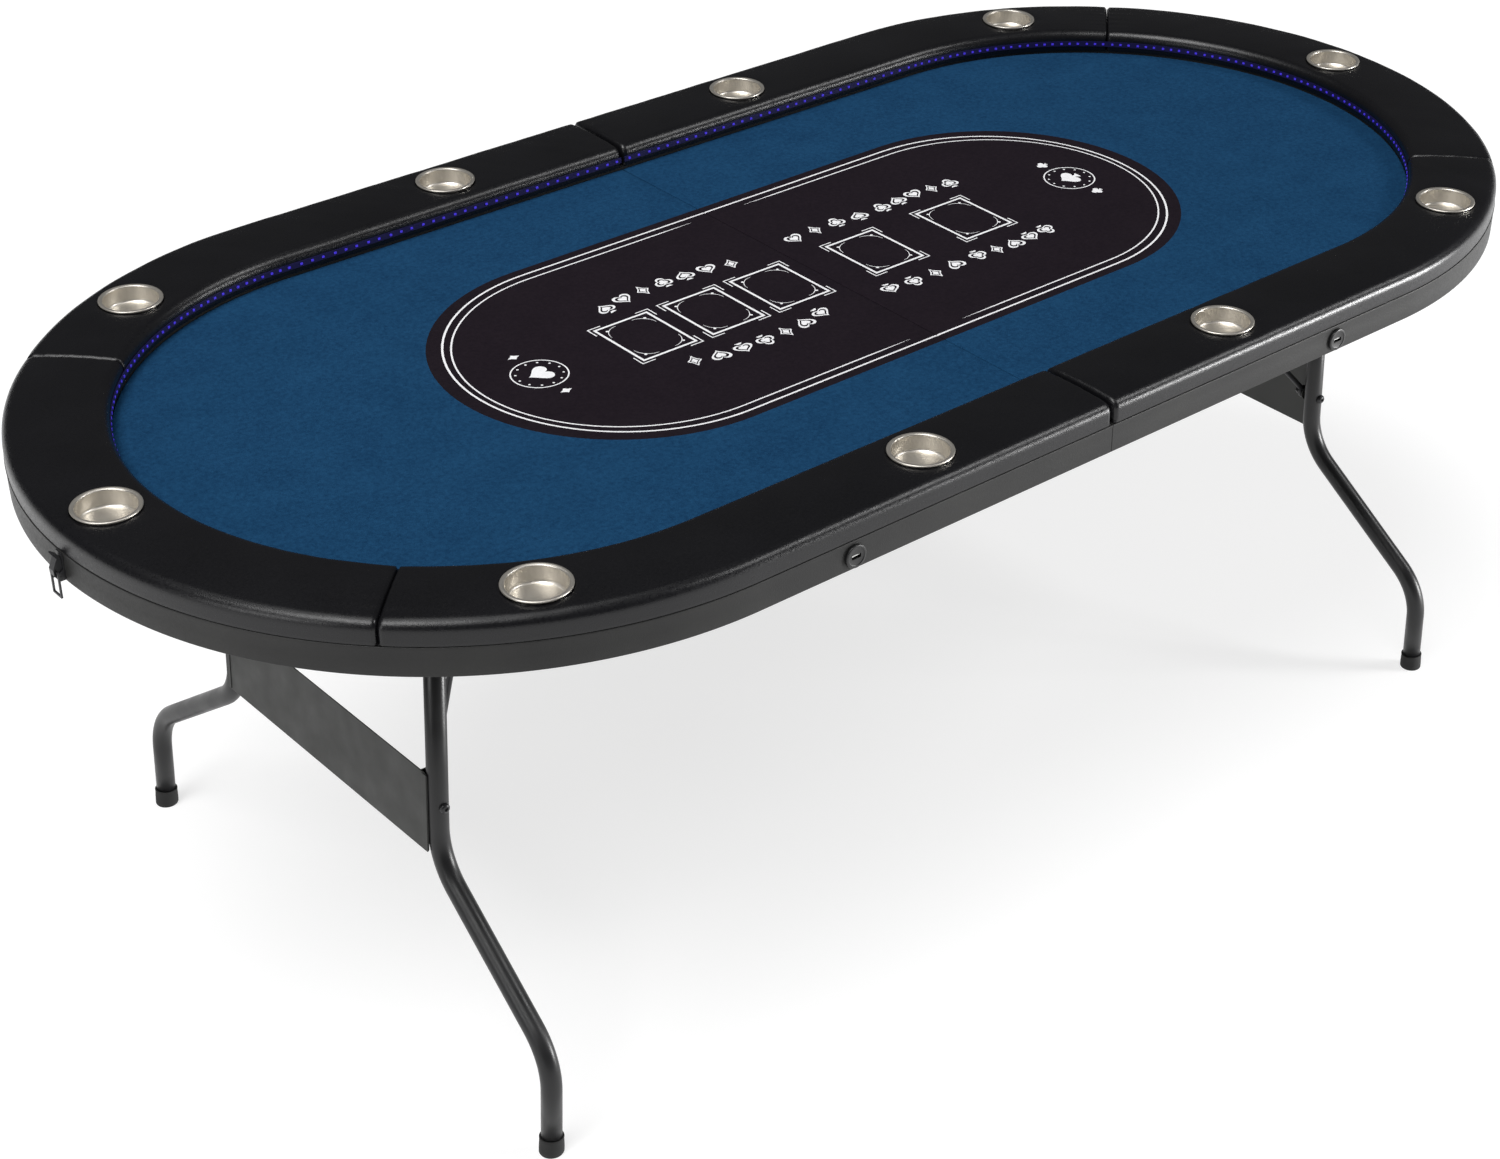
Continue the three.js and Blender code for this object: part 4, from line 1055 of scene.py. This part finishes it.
def make_panel(name, to_row, body):
    """The sheet across the tubes: a web with hemmed ends and two flanges with bolted ears."""
    outer = -TUBE_RADIUS - FIT_GAP - PANEL_SHEET
    low, high = along_leg(PANEL_BOTTOM_Z), along_leg(PANEL_TOP_Z)
    to_web = Matrix.Translation((outer + PANEL_SHEET / 2, 0, (high + low) / 2))
    to_web = to_web @ Matrix.Rotation(QUARTER_TURN, 4, "Y") @ Matrix.Rotation(QUARTER_TURN, 4, "Z")
    parts = [placed(rounded_box(2 * LEG_TOP_Y, high - low, PANEL_SHEET, 5 * MM, 6), to_web)]
    hem = rounded_box(9 * MM, high - low - 3 * MM, 1.0 * MM, 0.45 * MM)
    edge = LEG_TOP_Y - TUBE_RADIUS - FIT_GAP
    for sign in (-1, 1):
        shift = Matrix.Translation((sign * (LEG_TOP_Y - 4.6 * MM), 0, -PANEL_SHEET / 2 - 0.45 * MM))
        parts.append(placed(hem, to_web @ shift))
        parts.append(loft([[Vector((x, sign * y, z)) for x, z in panel_flange(outer)]
                           for y in (edge, edge - PANEL_SHEET)]))
    obj = piece(f"{name}_panel_sheet", *placed(merged(*parts), to_row), PANEL_ENAMEL, body,
                f"{name}_leg_panel", "panel_enamel", smooth=False)
    soften(obj, 0.4 * MM)


def make_brace(name):
    """The V-shaped bar with its short top, and an eye at each bolt."""
    bolt = Matrix.Translation(JOINTS[f"{name}_brace_swing"]["pos_m"])
    start = 6.5 * MM
    corners = [Vector((0, y, z)) for y, z in ((-BRACE_ARM_Y, start), (-BRACE_TOP_Y, BRACE_LENGTH),
                                              (BRACE_TOP_Y, BRACE_LENGTH), (BRACE_ARM_Y, start))]
    bar = loft(tube_rings(rounded_path(corners, BRACE_BEND_RADIUS, 10), BRACE_RADIUS, 20))
    eye = hollow_bar(9 * MM, 4.6 * MM, 5 * MM, 36)
    eyes = [placed(eye, Matrix.Translation((0, y, 0)) @ TO_NEAR) for y in (-BRACE_ARM_Y, BRACE_ARM_Y)]
    brace = placed(merged(bar, *eyes), bolt @ inboard(name, QUARTER_TURN - BRACE_RISE))
    piece(f"{name}_brace_bar", *brace, DARK_HARDWARE, f"{name}_brace", f"{name}_leg_brace", "dark_hardware")


# ---- sockets and kept CAD pieces
def make_socket(name):
    """A round charging socket: stepped face, slot and its white tongue."""
    x, _, z = centre_of(f"{name}_charging_socket")
    to_row = Matrix.Translation((x, -END_RADIUS, z)) @ TO_NEAR
    profile = [(0, -22 * MM), (11 * MM, -22 * MM), (11 * MM, 0.3 * MM), (14.4 * MM, 0.3 * MM)]
    profile += arc(13.2 * MM, 2.6 * MM, 1.3 * MM, 0, 90, 5)
    profile += [(11.6 * MM, 4 * MM), (11.2 * MM, 3.4 * MM), (10.6 * MM, 3.2 * MM), (0, 3.2 * MM)]
    body = piece(f"{name}_socket_body", *placed(lathe(profile, 64), to_row), BLACK_PLASTIC,
                 f"{name}_half", f"{name}_charging_socket", "black_plastic")
    slot_box = placed(rounded_box(13.2 * MM, 5.2 * MM, 24 * MM, 0.6 * MM), to_row)
    carved(body, slot_box)
    soften(body, 0.25 * MM, 2, 40)
    tongue = placed(rounded_box(11.4 * MM, 2.0 * MM, 11 * MM, 0.3 * MM), to_row @ Matrix.Translation(
        (0, 0.8 * MM, -4.2 * MM)))
    piece(f"{name}_socket_tongue", *tongue, WHITE_PLASTIC, f"{name}_half", (), "black_plastic",
          smooth=False)


def paint_cad(node, material, width=0.4 * MM):
    """A CAD piece whose shape is kept: its own finish and softened edges."""
    obj = frame["nodes"][node]
    obj.data.materials.clear()
    obj.data.materials.append(material)
    soften(obj, width)


def make_hardware():
    for name in SIDES:
        paint_cad(f"{name}_board", BASEBOARD, 0.6 * MM)
        paint_cad(f"{name}_pivot_plate", ZINC_STEEL)
        paint_cad(f"{name}_brace_catch", ZINC_STEEL)
        for row in ROWS:
            paint_cad(f"{row}_hinge_{name}_leaf", ZINC_STEEL)
    for row in ROWS:
        paint_cad(f"{row}_hinge_link", ZINC_STEEL)
    for node in ("light_controller", "power_inlet"):
        paint_cad(node, BLACK_PLASTIC)
    for node in ("latch_base", "latch_bail", "latch_keeper", "latch_lever"):
        paint_cad(node, DARK_HARDWARE, 0.25 * MM)


# ---- studio
def glowing_floor():
    """White, and mostly lit by itself, so that shadows on it stay pale."""
    mesh = bpy.data.meshes.new("floor")
    mesh.from_pydata([(-20, -20, 0), (20, -20, 0), (20, 20, 0), (-20, 20, 0)], [], [(0, 1, 2, 3)])
    floor = bpy.data.objects.new("floor", mesh)
    bpy.context.collection.objects.link(floor)
    paint = Nodes("floor", (0.4, 0.4, 0.4, 1), 0.9, Specular_IOR_Level=0.0)
    paint.shader.inputs["Emission Color"].default_value = (1, 1, 1, 1)
    paint.shader.inputs["Emission Strength"].default_value = 0.7
    mesh.materials.append(paint.material)


def dark_surround():
    """Nearly black to the surfaces, for deep reflections, and white behind the table."""
    world = bpy.data.worlds.new("surround")
    bpy.context.scene.world = world
    world.use_nodes = True
    tree = world.node_tree
    seen = tree.nodes.new("ShaderNodeLightPath").outputs["Is Camera Ray"]
    strength = tree.nodes.new("ShaderNodeMapRange")
    strength.inputs["To Min"].default_value = 0.07
    tree.links.new(seen, strength.inputs["Value"])
    tree.links.new(strength.outputs["Result"], tree.nodes["Background"].inputs["Strength"])
    tree.nodes["Background"].inputs["Color"].default_value = (1, 1, 1, 1)


def add_lamp(name, kind, place, power, **values):
    data = bpy.data.lights.new(name, kind)
    data.energy = power
    for key, value in values.items():
        setattr(data, key, value)
    lamp = bpy.data.objects.new(name, data)
    lamp.location = place
    lamp.visible_camera = False
    lamp.rotation_euler = (Vector((0, 0, 0.7)) - Vector(place)).to_track_quat("-Z", "Y").to_euler()
    bpy.context.collection.objects.link(lamp)


def make_studio():
    """A white floor, a soft sun from the left, a harder one from the right, three area lamps."""
    glowing_floor()
    dark_surround()
    add_lamp("left_sun", "SUN", (-1.8, -0.4, 4.3), 2.0, angle=math.radians(35))
    add_lamp("right_sun", "SUN", (2.6, -1.9, 3.5), 0.8, angle=math.radians(16))
    add_lamp("above", "AREA", (-0.8, 0.4, 4.6), 40, size=2.6)
    add_lamp("right", "AREA", (3.6, -3.2, 0.66), 210, size=0.9)
    add_lamp("left", "AREA", (-4.2, -0.6, 1.8), 25, size=1.4)
    bpy.context.scene.view_settings.view_transform = "Standard"


# ---- everything
make_rail()
for half in SIDES:
    make_apron(half)
    make_felt(half)
    make_light_strip(half)
    make_legs(half)
    make_brace(half)
    make_socket(half)
make_cups()
make_hardware()
make_studio()

bpy.context.view_layer.update()
